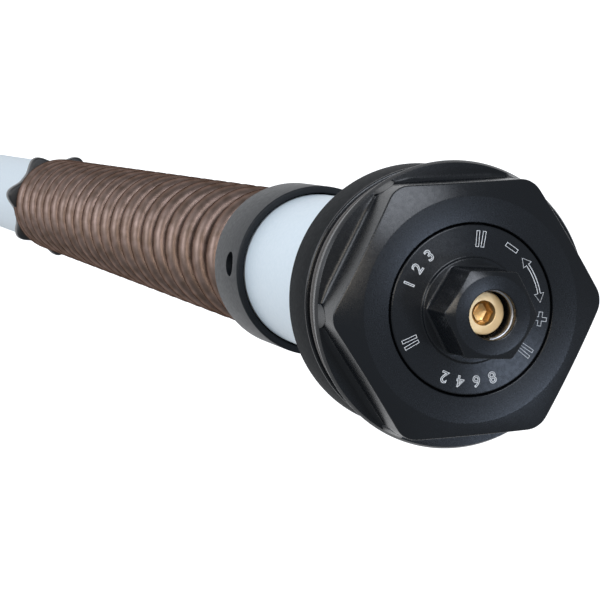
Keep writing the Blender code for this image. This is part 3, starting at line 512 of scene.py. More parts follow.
def kept_mesh(work: bmesh.types.BMesh, name: str) -> Mesh:
    """Face a working mesh outwards and keep it as a smooth one."""
    bmesh.ops.recalc_face_normals(work, faces=work.faces)
    mesh = bpy.data.meshes.new(name)
    work.to_mesh(mesh)
    work.free()
    return smooth(mesh)


def turned_mesh(name: str, column_at: Column, angles: list[float], is_open: bool = False) -> Mesh:
    """Sweep a closed profile about Z.

    Args:
        name: the mesh's name.
        column_at: gives the profile at an angle, in millimetres.
        angles: the angles of the columns.
        is_open: whether the sweep has two ends, which are then closed flat.

    Returns:
        A closed mesh, in metres.
    """
    work = bmesh.new()
    columns = []
    for angle in angles:
        across = Vector((math.cos(angle), math.sin(angle), 0.0))
        column = []
        for radius, height in column_at(angle):
            column.append(work.verts.new((across * radius + Vector((0.0, 0.0, height))) * MM))
        columns.append(column)
    pairs = list(zip(columns, columns[1:]))
    if not is_open:
        pairs.append((columns[-1], columns[0]))
    for left, right in pairs:
        for index in range(len(left)):
            last = index - 1
            work.faces.new((left[last], right[last], right[index], left[index]))
    if is_open:
        work.faces.new(columns[0])
        work.faces.new(columns[-1])
    bmesh.ops.remove_doubles(work, verts=work.verts, dist=TINY * MM)
    bmesh.ops.dissolve_degenerate(work, edges=work.edges, dist=TINY * MM)
    return kept_mesh(work, name)


def round_mesh(name: str, profile: list[Point], count: int = ROUND_SEGMENTS) -> Mesh:
    """Sweep a profile that is the same all round."""
    return turned_mesh(name, lambda angle: profile, round_angles(count))


def two_finishes(
    mesh: Mesh, first: Material, second: Material, takes_second: Callable[[Vector], bool]
) -> None:
    """Give a mesh one finish, and another on the faces whose middles pass the test."""
    mesh.materials.append(first)
    mesh.materials.append(second)
    for face in mesh.polygons:
        face.material_index = int(takes_second(face.center))


def link_object(name: str, data: bpy.types.ID) -> Object:
    """Add an object that holds the data to the scene."""
    item = bpy.data.objects.new(name, data)
    bpy.context.scene.collection.objects.link(item)
    return item


def settled_mesh(item: Object, name: str) -> Mesh:
    """Return the plain mesh that an object evaluates to."""
    evaluated = item.evaluated_get(bpy.context.evaluated_depsgraph_get())
    mesh = bpy.data.meshes.new_from_object(evaluated)
    mesh.name = name
    return mesh


def new_rule(
    name: str, numbers: tuple[str, ...], counts: tuple[str, ...] = (), takes_mesh: bool = False
) -> tuple[NodeTree, NodeOutputs]:
    """Start a Geometry Nodes tree that also has a material for an input.

    Args:
        name: the tree's name.
        numbers: the names of its inputs that are numbers.
        counts: the names of its inputs that are whole numbers.
        takes_mesh: whether it works on a mesh.

    Returns:
        The tree and the outputs of its input node.
    """
    tree = bpy.data.node_groups.new(name, "GeometryNodeTree")
    tree.interface.new_socket("Geometry", in_out="OUTPUT", socket_type="NodeSocketGeometry")
    kinds = {"Geometry": "NodeSocketGeometry"} if takes_mesh else {}
    kinds |= dict.fromkeys(numbers, "NodeSocketFloat")
    kinds |= dict.fromkeys(counts, "NodeSocketInt")
    kinds["Material"] = "NodeSocketMaterial"
    for label, kind in kinds.items():
        tree.interface.new_socket(label, in_out="INPUT", socket_type=kind)
    return tree, tree.nodes.new("NodeGroupInput").outputs


def close_rule(tree: NodeTree, geometry: NodeSocket, material: NodeSocket) -> NodeTree:
    """End a Geometry Nodes tree in real faces with a material, and return it."""
    real = add_node(tree, "GeometryNodeRealizeInstances", {"Geometry": geometry}).outputs["Geometry"]
    dressed = add_node(tree, "GeometryNodeSetMaterial", {"Geometry": real, "Material": material})
    add_node(tree, "NodeGroupOutput", {"Geometry": dressed.outputs["Geometry"]})
    return tree


def wire(tree: NodeTree, path: NodeSocket, sides: int | NodeSocket, radius: NodeSocket) -> NodeSocket:
    """Give a curve a round section with closed ends, and return its mesh."""
    section = add_node(tree, "GeometryNodeCurvePrimitiveCircle", {"Resolution": sides, "Radius": radius})
    inputs = {"Curve": path, "Profile Curve": section.outputs["Curve"], "Fill Caps": True}
    return add_node(tree, "GeometryNodeCurveToMesh", inputs).outputs["Mesh"]


def moved(tree: NodeTree, mesh: NodeSocket, offset: NodeSocket, tilt: float = 0.0) -> NodeSocket:
    """Tilt a mesh about Y, move it, and return it."""
    inputs = {"Geometry": mesh, "Translation": offset, "Rotation": (0.0, tilt, 0.0)}
    return add_node(tree, "GeometryNodeTransform", inputs).outputs["Geometry"]


def repeated(tree: NodeTree, mesh: NodeSocket, count: NodeSocket, angle: NodeSocket) -> NodeSocket:
    """Repeat a mesh about Z, at an angle that follows from each copy's number, and return the copies."""
    points = add_node(tree, "GeometryNodePoints", {"Count": count}).outputs[0]
    inputs = {"Points": points, "Instance": mesh, "Rotation": vector(tree, Z=angle)}
    return add_node(tree, "GeometryNodeInstanceOnPoints", inputs).outputs["Instances"]


def grow(name: str, tree: NodeTree, values: dict[str, object], start: Mesh | None = None) -> Object:
    """Run a Geometry Nodes tree once and keep what it makes as a plain mesh.

    Args:
        name: the name of the piece.
        tree: the tree to run.
        values: a value for each named input.
        start: the mesh that the tree works on, if it needs one.

    Returns:
        The piece, with no modifier left on it.
    """
    item = link_object(name, start or bpy.data.meshes.new(name))
    modifier = item.modifiers.new(name, "NODES")
    modifier.node_group = tree
    for socket in tree.interface.items_tree:
        if socket.item_type == "SOCKET" and socket.in_out == "INPUT" and socket.name in values:
            modifier[socket.identifier] = values[socket.name]
    mesh = settled_mesh(item, name)
    item.modifiers.remove(modifier)
    item.data = smooth(mesh)
    return item


def coil_rule() -> NodeTree:
    """Make the tree for a wire wound with closed turns at each end, its ends ground flat."""
    lengths = ("Coil Radius", "Wire Radius", "Start Height", "Top", "Bottom", "Active Rise", "Closed Rise")
    turns = ("First Turn", "Last Turn", "Active Turns")
    tree, given = new_rule("wound_wire", lengths + turns, ("Points", "Sides"))
    line = add_node(tree, "GeometryNodeCurvePrimitiveLine", {"End": (1.0, 0.0, 0.0)}).outputs["Curve"]
    path = add_node(tree, "GeometryNodeResampleCurve", {"Curve": line, "Count": given["Points"]})
    straight = wire(tree, path.outputs["Curve"], given["Sides"], given["Wire Radius"])
    position = add_node(tree, "GeometryNodeInputPosition").outputs["Position"]
    where = add_node(tree, "ShaderNodeSeparateXYZ", {"Vector": position}).outputs
    turn = map_range(tree, where["X"], WHOLE, (given["First Turn"], given["Last Turn"]))
    active_end = calculate(tree, "ADD", given["Active Turns"], CLOSED_TURNS)
    last_end = calculate(tree, "ADD", active_end, CLOSED_TURNS)
    height = calculate(tree, "ADD", given["Start Height"], where["Z"])
    for begin, end, rise in (
        (0.0, CLOSED_TURNS, "Closed Rise"),
        (CLOSED_TURNS, active_end, "Active Rise"),
        (active_end, last_end, "Closed Rise"),
    ):
        drop = map_range(tree, turn, (begin, end), (0.0, given[rise]))
        height = calculate(tree, "SUBTRACT", height, drop)
    ground = add_node(tree, "ShaderNodeClamp", {"Value": height, "Min": given["Bottom"], "Max": given["Top"]})
    radius = calculate(tree, "ADD", given["Coil Radius"], where["Y"])
    angle = calculate(tree, "MULTIPLY", turn, -math.tau)
    across = calculate(tree, "MULTIPLY", calculate(tree, "COSINE", angle), radius)
    along = calculate(tree, "MULTIPLY", calculate(tree, "SINE", angle), radius)
    spot = vector(tree, X=across, Y=along, Z=ground.outputs[0])
    spring = add_node(tree, "GeometryNodeSetPosition", {"Geometry": straight, "Position": spot})
    return close_rule(tree, spring.outputs["Geometry"], given["Material"])


def thread_rule() -> NodeTree:
    """Make the tree for one helical ridge of a thread."""
    tree, given = new_rule("thread_ridge", ("Radius", "Start", "Length", "Turns", "Ridge"))
    spiral = add_node(tree, "GeometryNodeCurveSpiral", {
        "Resolution": SMALL_SEGMENTS, "Rotations": given["Turns"], "Start Radius": given["Radius"],
        "End Radius": given["Radius"], "Height": given["Length"]})
    upright = add_node(tree, "GeometryNodeSetCurveNormal", {"Curve": spiral.outputs["Curve"]}, mode="Z_UP")
    ridge = wire(tree, upright.outputs["Curve"], RIDGE_SIDES, given["Ridge"])
    return close_rule(tree, moved(tree, ridge, vector(tree, Z=given["Start"])), given["Material"])


def drill_rule() -> NodeTree:
    """Make the tree that drills holes through a wall, spaced evenly about Z."""
    numbers = ("First Angle", "Height", "Hole Radius", "Reach")
    tree, given = new_rule("drilled_wall", numbers, ("Count",), takes_mesh=True)
    drill = add_node(tree, "GeometryNodeMeshCylinder", {
        "Vertices": SMALL_SEGMENTS, "Radius": given["Hole Radius"], "Depth": given["Reach"]})
    out = vector(tree, X=calculate(tree, "DIVIDE", given["Reach"], 2.0), Z=given["Height"])
    lying = moved(tree, drill.outputs["Mesh"], out, math.pi / 2.0)
    step = calculate(tree, "DIVIDE", math.tau, given["Count"])
    index = add_node(tree, "GeometryNodeInputIndex").outputs["Index"]
    angle = calculate(tree, "MULTIPLY_ADD", index, step, given["First Angle"])
    drills = repeated(tree, lying, given["Count"], angle)
    real = add_node(tree, "GeometryNodeRealizeInstances", {"Geometry": drills}).outputs["Geometry"]
    solids = {"Mesh 1": given["Geometry"], "Mesh 2": real}
    cut = add_node(tree, "GeometryNodeMeshBoolean", solids, operation="DIFFERENCE", solver="EXACT")
    return close_rule(tree, cut.outputs["Mesh"], given["Material"])


def tick_rule() -> NodeTree:
    """Make the tree for pairs of outlined ticks on a dial."""
    numbers = ("First Angle", "Pair Step", "Tick Step", "Radius", "Height", "Length", "Width", "Line")
    tree, given = new_rule("dial_ticks", numbers, ("Pairs",))
    sides = {"Width": given["Length"], "Height": given["Width"]}
    outline = add_node(tree, "GeometryNodeCurvePrimitiveQuadrilateral", sides).outputs["Curve"]
    tick = wire(tree, outline, LINE_SIDES, given["Line"])
    placed = moved(tree, tick, vector(tree, X=given["Radius"], Z=given["Height"]))
    index = add_node(tree, "GeometryNodeInputIndex").outputs["Index"]
    pair = calculate(tree, "FLOOR", calculate(tree, "DIVIDE", index, 2.0))
    member = calculate(tree, "MODULO", index, 2.0)
    angle = calculate(tree, "MULTIPLY_ADD", pair, given["Pair Step"], given["First Angle"])
    angle = calculate(tree, "MULTIPLY_ADD", member, given["Tick Step"], angle)
    ticks = repeated(tree, placed, calculate(tree, "MULTIPLY", given["Pairs"], 2.0), angle)
    return close_rule(tree, ticks, given["Material"])


@dataclass(frozen=True)
class Holes:
    """Holes through a wall, spaced evenly about Z."""

    count: int
    first_angle: float
    height: float
    radius: float

    def drill(self, name: str, corners: list[Corner], material: Material) -> Object:
        """Turn a wall from the corners of its profile, drill it, and return it."""
        blank = round_mesh(name, rounded(corners))
        reach = max(radius for radius, _, _ in corners) + DRILL_MARGIN
        return grow(name, drill_rule(), {
            "Count": self.count, "First Angle": self.first_angle, "Height": self.height * MM,
            "Hole Radius": self.radius * MM, "Reach": reach * MM, "Material": material}, blank)


@dataclass
class SubAssembly:
    """A group of pieces on the frame, with the finishes that dress them."""

    finishes: dict[Slot, Material]

    def dress(self, item: Object, body: Body, slot: Slot, *nodes: str) -> None:
        """Put a finished piece on its body.

        Args:
            item: the piece.
            body: the body that it moves with.
            slot: the record's slot for its finish.
            nodes: the frame's nodes that it stands for.
        """
        if not item.data.materials:
            item.data.materials.append(self.finishes[slot])
        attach(item, body.value)
        if nodes:
            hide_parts(*nodes)
        LOG.info("%s rides on %s: %d faces", item.name, body.value, len(item.data.polygons))

    def turn(
        self, name: str, corners: list[Corner], body: Body, slot: Slot, node: str,
        segments: int = ROUND_SEGMENTS,
    ) -> None:
        """Add a round piece in place of a node, from the corners of its profile."""
        mesh = round_mesh(name, rounded(corners), segments)
        self.dress(link_object(name, mesh), body, slot, node)

    def seal(self, node: str, outer_radius: float, section: float, height: float, body: Body) -> None:
        """Add a rubber ring of round section in place of a node, with its middle at the given height."""
        name = "round_" + node
        mesh = round_mesh(name, circle_profile(outer_radius - section / 2.0, height, section))
        self.dress(link_object(name, mesh), body, Slot.BLACK_RUBBER, node)

    def thread(
        self, name: str, body: Body, radius: float, ridge: float, start: float, pitch: float, turns: float
    ) -> None:
        """Add the ridge of a thread.

        Args:
            name: the piece's name.
            body: the body that it moves with.
            radius: the radius of the wall that it stands on.
            ridge: how far it stands out.
            start: the height of its lower end.
            pitch: its rise in one turn.
            turns: its number of turns.
        """
        values = {"Radius": radius * MM, "Start": start * MM, "Length": pitch * turns * MM, "Turns": turns,
                  "Ridge": ridge * MM, "Material": self.finishes[Slot.BLACK_ANODISED]}
        self.dress(grow(name, thread_rule(), values), body, Slot.BLACK_ANODISED)


@dataclass
class ForkCap(SubAssembly):
    """The hexagon cap that closes the fork tube, with its two seals and its thread."""

    dull: Material
    height: float = 26.5
    face_radius: float = 18.65
    face_round: float = 0.8
    chamfer_drop: float = 1.1
    hexagon: Hexagon = Hexagon(flats=41.7, fillet=0.5)
    turned_radius: float = 23.45
    corner_round: float = 0.5
    wall_round: float = 0.35
    flats_end: float = 18.6
    corner_end: float = 21.2
    corner_run_out: float = 0.45
    cove: float = 1.1
    cove_steps: int = 6
    cove_share: float = 0.6
    cove_fade: float = 0.85
    rim_radius: float = 23.85
    rim_round: float = 0.05
    flange_radius: float = 24.25
    flange_bevel: float = 4.0
    band_radius: float = 23.25
    band_height: float = 9.8
    band_edge: float = 0.4
    groove_top: float = 13.8
    groove_root: float = 19.65
    ring_section: float = 3.0
    skirt_radius: float = 19.0
    skirt_end: float = -11.0
    thread_core: float = 18.35
    thread_pitch: float = 1.5
    thread_turns: float = 4.0
    seal_section: float = 2.0
    seal_height: float = -2.1
    holder_bore: float = 16.5
    holder_shoulder: float = -1.8
    cavity_radius: float = 16.0
    shoulder: float = 20.0
    dial_bore: float = 14.3
    clip_root: float = 17.3
    clip_end: float = -9.4
    clip_top: float = -7.6

    def upper_corners(self, angle: float) -> list[Corner]:
        """Return the corners above the flange at an angle: flats milled in a turned blank, with a cove."""
        wall = smooth_min(self.hexagon.radius(angle), self.turned_radius, self.corner_round)
        slope = self.chamfer_drop / (self.turned_radius - self.face_radius)
        rise = max(wall - self.turned_radius + self.corner_run_out, 0.0) / self.corner_run_out
        cove = min(self.cove, (self.rim_radius - wall) * self.cove_share) * (1.0 - self.cove_fade * rise)
        floor = self.flats_end + (self.corner_end - self.flats_end) * rise
        corners = [(self.dial_bore, self.height, BROKEN), (self.face_radius, self.height, self.face_round),
                   (wall, self.height - slope * (wall - self.face_radius), self.wall_round)]
        for step in range(self.cove_steps + 1):
            turn = math.pi / 2.0 * step / self.cove_steps
            reach = wall + cove * (1.0 - math.cos(turn))
            corners.append((reach, floor + cove * (1.0 - math.sin(turn)), SHARP))
        return corners

    def lower_corners(self) -> list[Corner]:
        """Return the corners that are the same all round: flange, ring groove, band, skirt and bores."""
        seal_top = self.seal_height + self.seal_section / 2.0 + GAP
        seal_end = self.seal_height - self.seal_section / 2.0 - GAP
        seal_root = self.skirt_radius - self.seal_section - GAP
        return [
            (self.rim_radius, self.flats_end, self.rim_round),
            (self.flange_radius, self.groove_top + self.flange_bevel, ROUND),
            (self.band_radius, self.groove_top, EASED),
            (self.groove_root, self.groove_top, BROKEN), (self.groove_root, self.band_height, BROKEN),
            (self.band_radius, self.band_height, self.band_edge), (self.band_radius, 0.0, ROUND),
            (self.skirt_radius, 0.0, BROKEN),
            (self.skirt_radius, seal_top, FINE), (seal_root, seal_top, FINE), (seal_root, seal_end, FINE),
            (self.thread_core, seal_end, FINE), (self.thread_core, self.skirt_end, FULL),
            (self.holder_bore, self.skirt_end, SOFT),
            *groove(self.holder_bore, self.clip_root, self.clip_end, self.clip_top),
            (self.holder_bore, self.holder_shoulder, SHARP),
            (self.cavity_radius, self.holder_shoulder, SHARP), (self.cavity_radius, self.shoulder, SHARP),
            (self.dial_bore, self.shoulder, SHARP)]

    def column(self, angle: float) -> list[Point]:
        """Return the cap's profile at an angle."""
        return rounded(self.upper_corners(angle) + self.lower_corners())

    def build(self) -> None:
        """Add the cap, its thread, the ring in its groove and the seal on its skirt."""
        mesh = turned_mesh("cap_shell", self.column, round_angles(CAP_SEGMENTS))
        dull_top = (self.band_height - self.band_edge) * MM
        two_finishes(mesh, self.finishes[Slot.BLACK_ANODISED], self.dull, lambda spot: spot.z < dull_top)
        self.dress(link_object("cap_shell", mesh), Body.CAP, Slot.BLACK_ANODISED, "fork_cap")
        ridge = self.skirt_radius - self.thread_core
        start = self.skirt_end + self.thread_pitch / 2.0
        self.thread(
            "cap_thread", Body.CAP, self.thread_core, ridge, start, self.thread_pitch, self.thread_turns)
        ring_height = self.band_height + GAP + self.ring_section / 2.0
        self.seal("cap_ring", self.band_radius - GAP, self.ring_section, ring_height, Body.CAP)
        self.seal("skirt_seal", self.skirt_radius, self.seal_section, self.seal_height, Body.CAP)


@dataclass
class PreloadAdjuster(SubAssembly):
    """The dial with its hexagon, its marks, its seal and the snap ring over the damping screw."""

    mark: Material
    hexagon: Hexagon = Hexagon(flats=14.0, fillet=0.7, turn=math.radians(-5.5))
    top: float = 35.5
    face_radius: float = 6.35
    chamfer_angle: float = math.radians(22.0)
    boss_radius: float = 8.68
    boss_top: float = 27.1
    dial_radius: float = 14.0
    dial_face: float = 26.5
    seal_section: float = 1.8
    seal_height: float = 23.1
    thrust_radius: float = 15.7
    thrust_top: float = 19.7
    thrust_end: float = 16.5
    stem_radius: float = 9.0
    stem_end: float = -0.9
    stem_bore: float = 2.6
    screw_seat: float = 22.0
    screw_bore: float = 4.0
    snap_height: float = 33.9
    snap_section: float = 0.6
    snap_root: float = 4.5
    snap_start: float = math.radians(-92.0)
    snap_opening: float = math.radians(50.0)
    line: float = 0.075
    mark_radius: float = 11.7
    digit_size: float = 2.7
    sign_lift: float = 0.5
    sign_arm: float = 1.15
    sign_half: float = 0.32
    arrow_lift: float = 0.4
    arrow_half: float = 0.85
    arrow_shaft_half: float = 0.224
    arrow_steps: int = 12
    tick_pairs: int = 3
    tick_length: float = 2.6
    tick_width: float = 0.5
    # Angles on the dial, in degrees clockwise from the top of the picture
    picture_top: float = 86.0
    tick_place: float = 3.0
    tick_step: float = 5.0
    pair_step: float = 119.0
    less_place: float = 33.0
    arrow_places: Span = (45.0, 84.0)
    arrow_head: float = 7.0
    more_place: float = 97.0
    long_scale: tuple[tuple[str, float], ...] = (("8", 160.0), ("6", 174.0), ("4", 188.0), ("2", 202.0))
    short_scale: tuple[tuple[str, float], ...] = (("1", 291.0), ("2", 305.0), ("3", 319.0))

    def column(self, angle: float) -> list[Point]:
        """Return the adjuster's profile at an angle."""
        wall = self.hexagon.radius(angle)
        wall_top = self.top - (wall - self.face_radius) * math.tan(self.chamfer_angle)
        snap_half = (self.snap_section + GAP) / 2.0
        snap_end = self.snap_height - snap_half
        snap_top = self.snap_height + snap_half
        return rounded([
            (self.screw_bore, self.top, EASED), (self.face_radius, self.top, SOFT), (wall, wall_top, BROKEN),
            (wall, self.boss_top, ROUND), (self.boss_radius, self.boss_top, EASED),
            (self.boss_radius, self.dial_face, SOFT), (self.dial_radius, self.dial_face, SOFT),
            *seal_groove(self.dial_radius, self.seal_section, self.seal_height),
            (self.dial_radius, self.thrust_top, SHARP), (self.thrust_radius, self.thrust_top, BROKEN),
            (self.thrust_radius, self.thrust_end, BROKEN), (self.stem_radius, self.thrust_end, BROKEN),
            (self.stem_radius, self.stem_end, SOFT), (self.stem_bore, self.stem_end, SHARP),
            (self.stem_bore, self.screw_seat, SHARP), (self.screw_bore, self.screw_seat, SHARP),
            *groove(self.screw_bore, self.snap_root, snap_end, snap_top)])

    def dial_angle(self, place: float) -> float:
        """Turn a clockwise angle on the picture's dial to an angle about Z, in radians."""
        return math.radians(self.picture_top - place)

    def arc_spot(self, radius: float, place: float) -> Vector:
        """Return a point on the dial's face, in millimetres."""
        angle = self.dial_angle(place)
        return Vector((radius * math.cos(angle), radius * math.sin(angle), self.dial_face))

    def arrow_outline(self) -> list[Vector]:
        """Return the outline of the arrow, which has a head at both ends, in millimetres."""
        begin, end = self.arrow_places
        necks = (begin + self.arrow_head, end - self.arrow_head)
        radius = self.mark_radius + self.arrow_lift
        outline = []
        for tip, side, (near, far) in ((begin, 1.0, necks), (end, -1.0, necks[::-1])):
            outline.append(self.arc_spot(radius, tip))
            outline.append(self.arc_spot(radius + side * self.arrow_half, near))
            for step in range(self.arrow_steps + 1):
                place = near + (far - near) * step / self.arrow_steps
                outline.append(self.arc_spot(radius + side * self.arrow_shaft_half, place))
            outline.append(self.arc_spot(radius + side * self.arrow_half, far))
        return outline

    def sign_outline(self, sign: Sign) -> list[Vector]:
        """Return the closed outline of a sign on the dial's face, in millimetres."""
        if sign is Sign.ARROW:
            return self.arrow_outline()
        half = self.sign_half
        arm = self.sign_arm
        place = self.less_place
        corners = [(-arm, -half), (arm, -half), (arm, half), (-arm, half)]
        if sign is Sign.MORE:
            place = self.more_place
            corners = [(-arm, -half), (-half, -half), (-half, -arm), (half, -arm), (half, -half),
                       (arm, -half), (arm, half), (half, half), (half, arm), (-half, arm), (-half, half),
                       (-arm, half)]
        middle = self.arc_spot(self.mark_radius + self.sign_lift, place)
        out = Vector((middle.x, middle.y, 0.0)).normalized()
        across = Vector((-out.y, out.x, 0.0))
        return [middle + across * along + out * up for along, up in corners]

    def new_line(self, name: str, kind: str) -> bpy.types.Curve:
        """Start a curve that is drawn as a thin raised line."""
        curve = bpy.data.curves.new(name, kind)
        curve.bevel_depth = self.line * MM
        curve.bevel_resolution = 1
        return curve

    def marks(self) -> Object:
        """Add the signs and the plain numbers on the dial."""
        signs = self.new_line("dial_signs", "CURVE")
        signs.dimensions = "3D"
        for sign in Sign:
            outline = self.sign_outline(sign)
            spline = signs.splines.new("POLY")
            spline.points.add(len(outline) - 1)
            spline.use_cyclic_u = True
            for knot, spot in zip(spline.points, outline):
                knot.co = (*(spot * MM), 1.0)
        drawn = [(signs, Matrix.Identity(4))]
        for digit, place in self.long_scale + self.short_scale:
            text = self.new_line("dial_number_" + digit, "FONT")
            text.body = digit
            text.size = self.digit_size * MM
            text.align_x = "CENTER"
            text.align_y = "CENTER"
            text.fill_mode = "NONE"
            upright = Matrix.Rotation(self.dial_angle(place) - math.pi / 2.0, 4, "Z")
            drawn.append((text, Matrix.Translation(self.arc_spot(self.mark_radius, place) * MM) @ upright))
        work = bmesh.new()
        for data, placing in drawn:
            holder = link_object(data.name, data)
            part = settled_mesh(holder, data.name)
            part.transform(placing)
            work.from_mesh(part)
            bpy.data.objects.remove(holder)
            bpy.data.meshes.remove(part)
        bmesh.ops.remove_doubles(work, verts=work.verts, dist=TINY * MM)
        mesh = kept_mesh(work, "dial_marks")
        mesh.materials.append(self.mark)
        return link_object("dial_marks", mesh)

    def build(self) -> None:
        """Add the adjuster, its seal, its snap ring and its marks."""
        mesh = turned_mesh("preload_dial", self.column, self.hexagon.angles())
        dial = link_object("preload_dial", mesh)
        self.dress(dial, Body.PRELOAD_ADJUSTER, Slot.BLACK_ANODISED, "preload_adjuster")
        self.seal("dial_seal", self.dial_radius, self.seal_section, self.seal_height, Body.PRELOAD_ADJUSTER)
        snap_radius = self.snap_root - GAP / 2.0 - self.snap_section / 2.0
        section = circle_profile(snap_radius, self.snap_height, self.snap_section)
        sweep = math.tau - self.snap_opening
        angles = [self.snap_start + sweep * step / SMALL_SEGMENTS for step in range(SMALL_SEGMENTS + 1)]
        ring = turned_mesh("wire_snap_ring", lambda angle: section, angles, is_open=True)
        self.dress(link_object("wire_snap_ring", ring), Body.PRELOAD_ADJUSTER, Slot.STEEL, "snap_ring")
        self.dress(self.marks(), Body.PRELOAD_ADJUSTER, Slot.BLACK_ANODISED)
        ticks = grow("dial_ticks", tick_rule(), {
            "Pairs": self.tick_pairs, "First Angle": self.dial_angle(self.tick_place),
            "Pair Step": -math.radians(self.pair_step), "Tick Step": -math.radians(self.tick_step),
            "Radius": self.mark_radius * MM, "Height": self.dial_face * MM, "Length": self.tick_length * MM,
            "Width": self.tick_width * MM, "Line": self.line * MM, "Material": self.mark})
        self.dress(ticks, Body.PRELOAD_ADJUSTER, Slot.BLACK_ANODISED)


@dataclass
class DampingScrew(SubAssembly):
    """The brass screw in the middle of the dial, with a socket for a hexagon key."""

    # Darker brass for the socket: painted shade in the recess
    socket_shade: Material
    key: Hexagon = Hexagon(flats=3.0, fillet=0.24)
    key_floor: float = 28.6
    key_point: float = 0.5
    lead_radius: float = 2.05
    face: float = 31.6
    face_radius: float = 3.38
    chamfer: float = 0.17
    shoulder: float = 29.3
    body_radius: float = 3.7
    body_end: float = 22.3
    seal_section: float = 1.2
    stem_radius: float = 2.3
    stem_end: float = -6.4
    tip_radius: float = 1.2
    tip_end: float = -12.4

    def seal_middle(self) -> float:
        """Return the height of the seal's middle."""
        return (self.shoulder + self.body_end) / 2.0

    def column(self, angle: float) -> list[Point]:
        """Return the screw's profile at an angle."""
        key = self.key.radius(angle)
        rim = self.face_radius + self.chamfer
        return rounded([
            (0.0, self.key_floor - self.key_point, SHARP), (key, self.key_floor, SHARP),
            (key, self.face - (self.lead_radius - key), FINE), (self.lead_radius, self.face, FINE),
            (self.face_radius, self.face, FINE), (rim, self.face - self.chamfer, FINE),
            (rim, self.shoulder, FINE), (self.body_radius, self.shoulder, FINE),
            *seal_groove(self.body_radius, self.seal_section, self.seal_middle()),
            (self.body_radius, self.body_end, BROKEN), (self.stem_radius, self.body_end, SHARP),
            (self.stem_radius, self.stem_end, BROKEN), (self.tip_radius, self.stem_end, SHARP),
            (self.tip_radius, self.tip_end, BROKEN), (0.0, self.tip_end, SHARP)])

    def is_socket(self, spot: Vector) -> bool:
        """Tell whether a point of the mesh lies in the key's socket."""
        return spot.z > self.body_end * MM and spot.xy.length < self.lead_radius * MM

    def build(self) -> None:
        """Add the screw and its seal."""
        mesh = turned_mesh("key_screw", self.column, self.key.angles())
        # The socket takes the darker brass, painted shade in the recess
        two_finishes(mesh, self.finishes[Slot.BRASS], self.socket_shade, self.is_socket)
        self.dress(link_object("key_screw", mesh), Body.DAMPING_ADJUSTER, Slot.BRASS, "damping_screw")
        middle = self.seal_middle()
        self.seal("screw_seal", self.body_radius, self.seal_section, middle, Body.DAMPING_ADJUSTER)


@dataclass
class PreloadSlider(SubAssembly):
    """The washer, tube and collar that the adjuster pushes down onto the spring."""

    satin: Material
    washer_bore: float = 11.47
    washer_top: float = -13.3
    washer_end: float = -15.8
    tube_bore: float = 13.2
    tube_radius: float = 15.4
    tube_top: float = -16.1
    tube_end: float = -58.4
    collar_radius: float = 17.15
    collar_top: float = -56.1
    collar_end: float = -73.7
    mouth_round: float = 0.45
    socket_radius: float = 15.7
    socket_floor: float = -58.7
    collar_bore: float = 7.5
    spigot_radius: float = 9.95
    spigot_end: float = -80.7
    spigot_round: float = 0.8
    cross_hole: Holes = Holes(count=2, first_angle=math.radians(173.0), height=-61.9, radius=2.5)

    def build(self) -> None:
        """Add the three pieces; the collar is cross-drilled."""
        washer = wall_corners(
            self.washer_bore, self.tube_radius, self.washer_top, self.washer_end, BROKEN, SOFT)
        self.turn("thrust_washer", washer, Body.PRELOAD_SLIDER, Slot.STEEL, "push_washer")
        tube = wall_corners(self.tube_bore, self.tube_radius, self.tube_top, self.tube_end, SOFT, ROUND)
        self.turn("satin_preload_tube", tube, Body.PRELOAD_SLIDER, Slot.CLEAR_ANODISED, "preload_tube")
        collar = self.cross_hole.drill("drilled_collar", [
            (self.socket_radius, self.collar_top, EASED),
            (self.collar_radius, self.collar_top, self.mouth_round),
            (self.collar_radius, self.collar_end, FULL), (self.spigot_radius, self.collar_end, SOFT),
            (self.spigot_radius, self.spigot_end, self.spigot_round),
            (self.collar_bore, self.spigot_end, SMOOTH), (self.collar_bore, self.socket_floor, SOFT),
            (self.socket_radius, self.socket_floor, BROKEN)], self.satin)
        self.dress(collar, Body.PRELOAD_SLIDER, Slot.BLACK_ANODISED, "spring_collar")


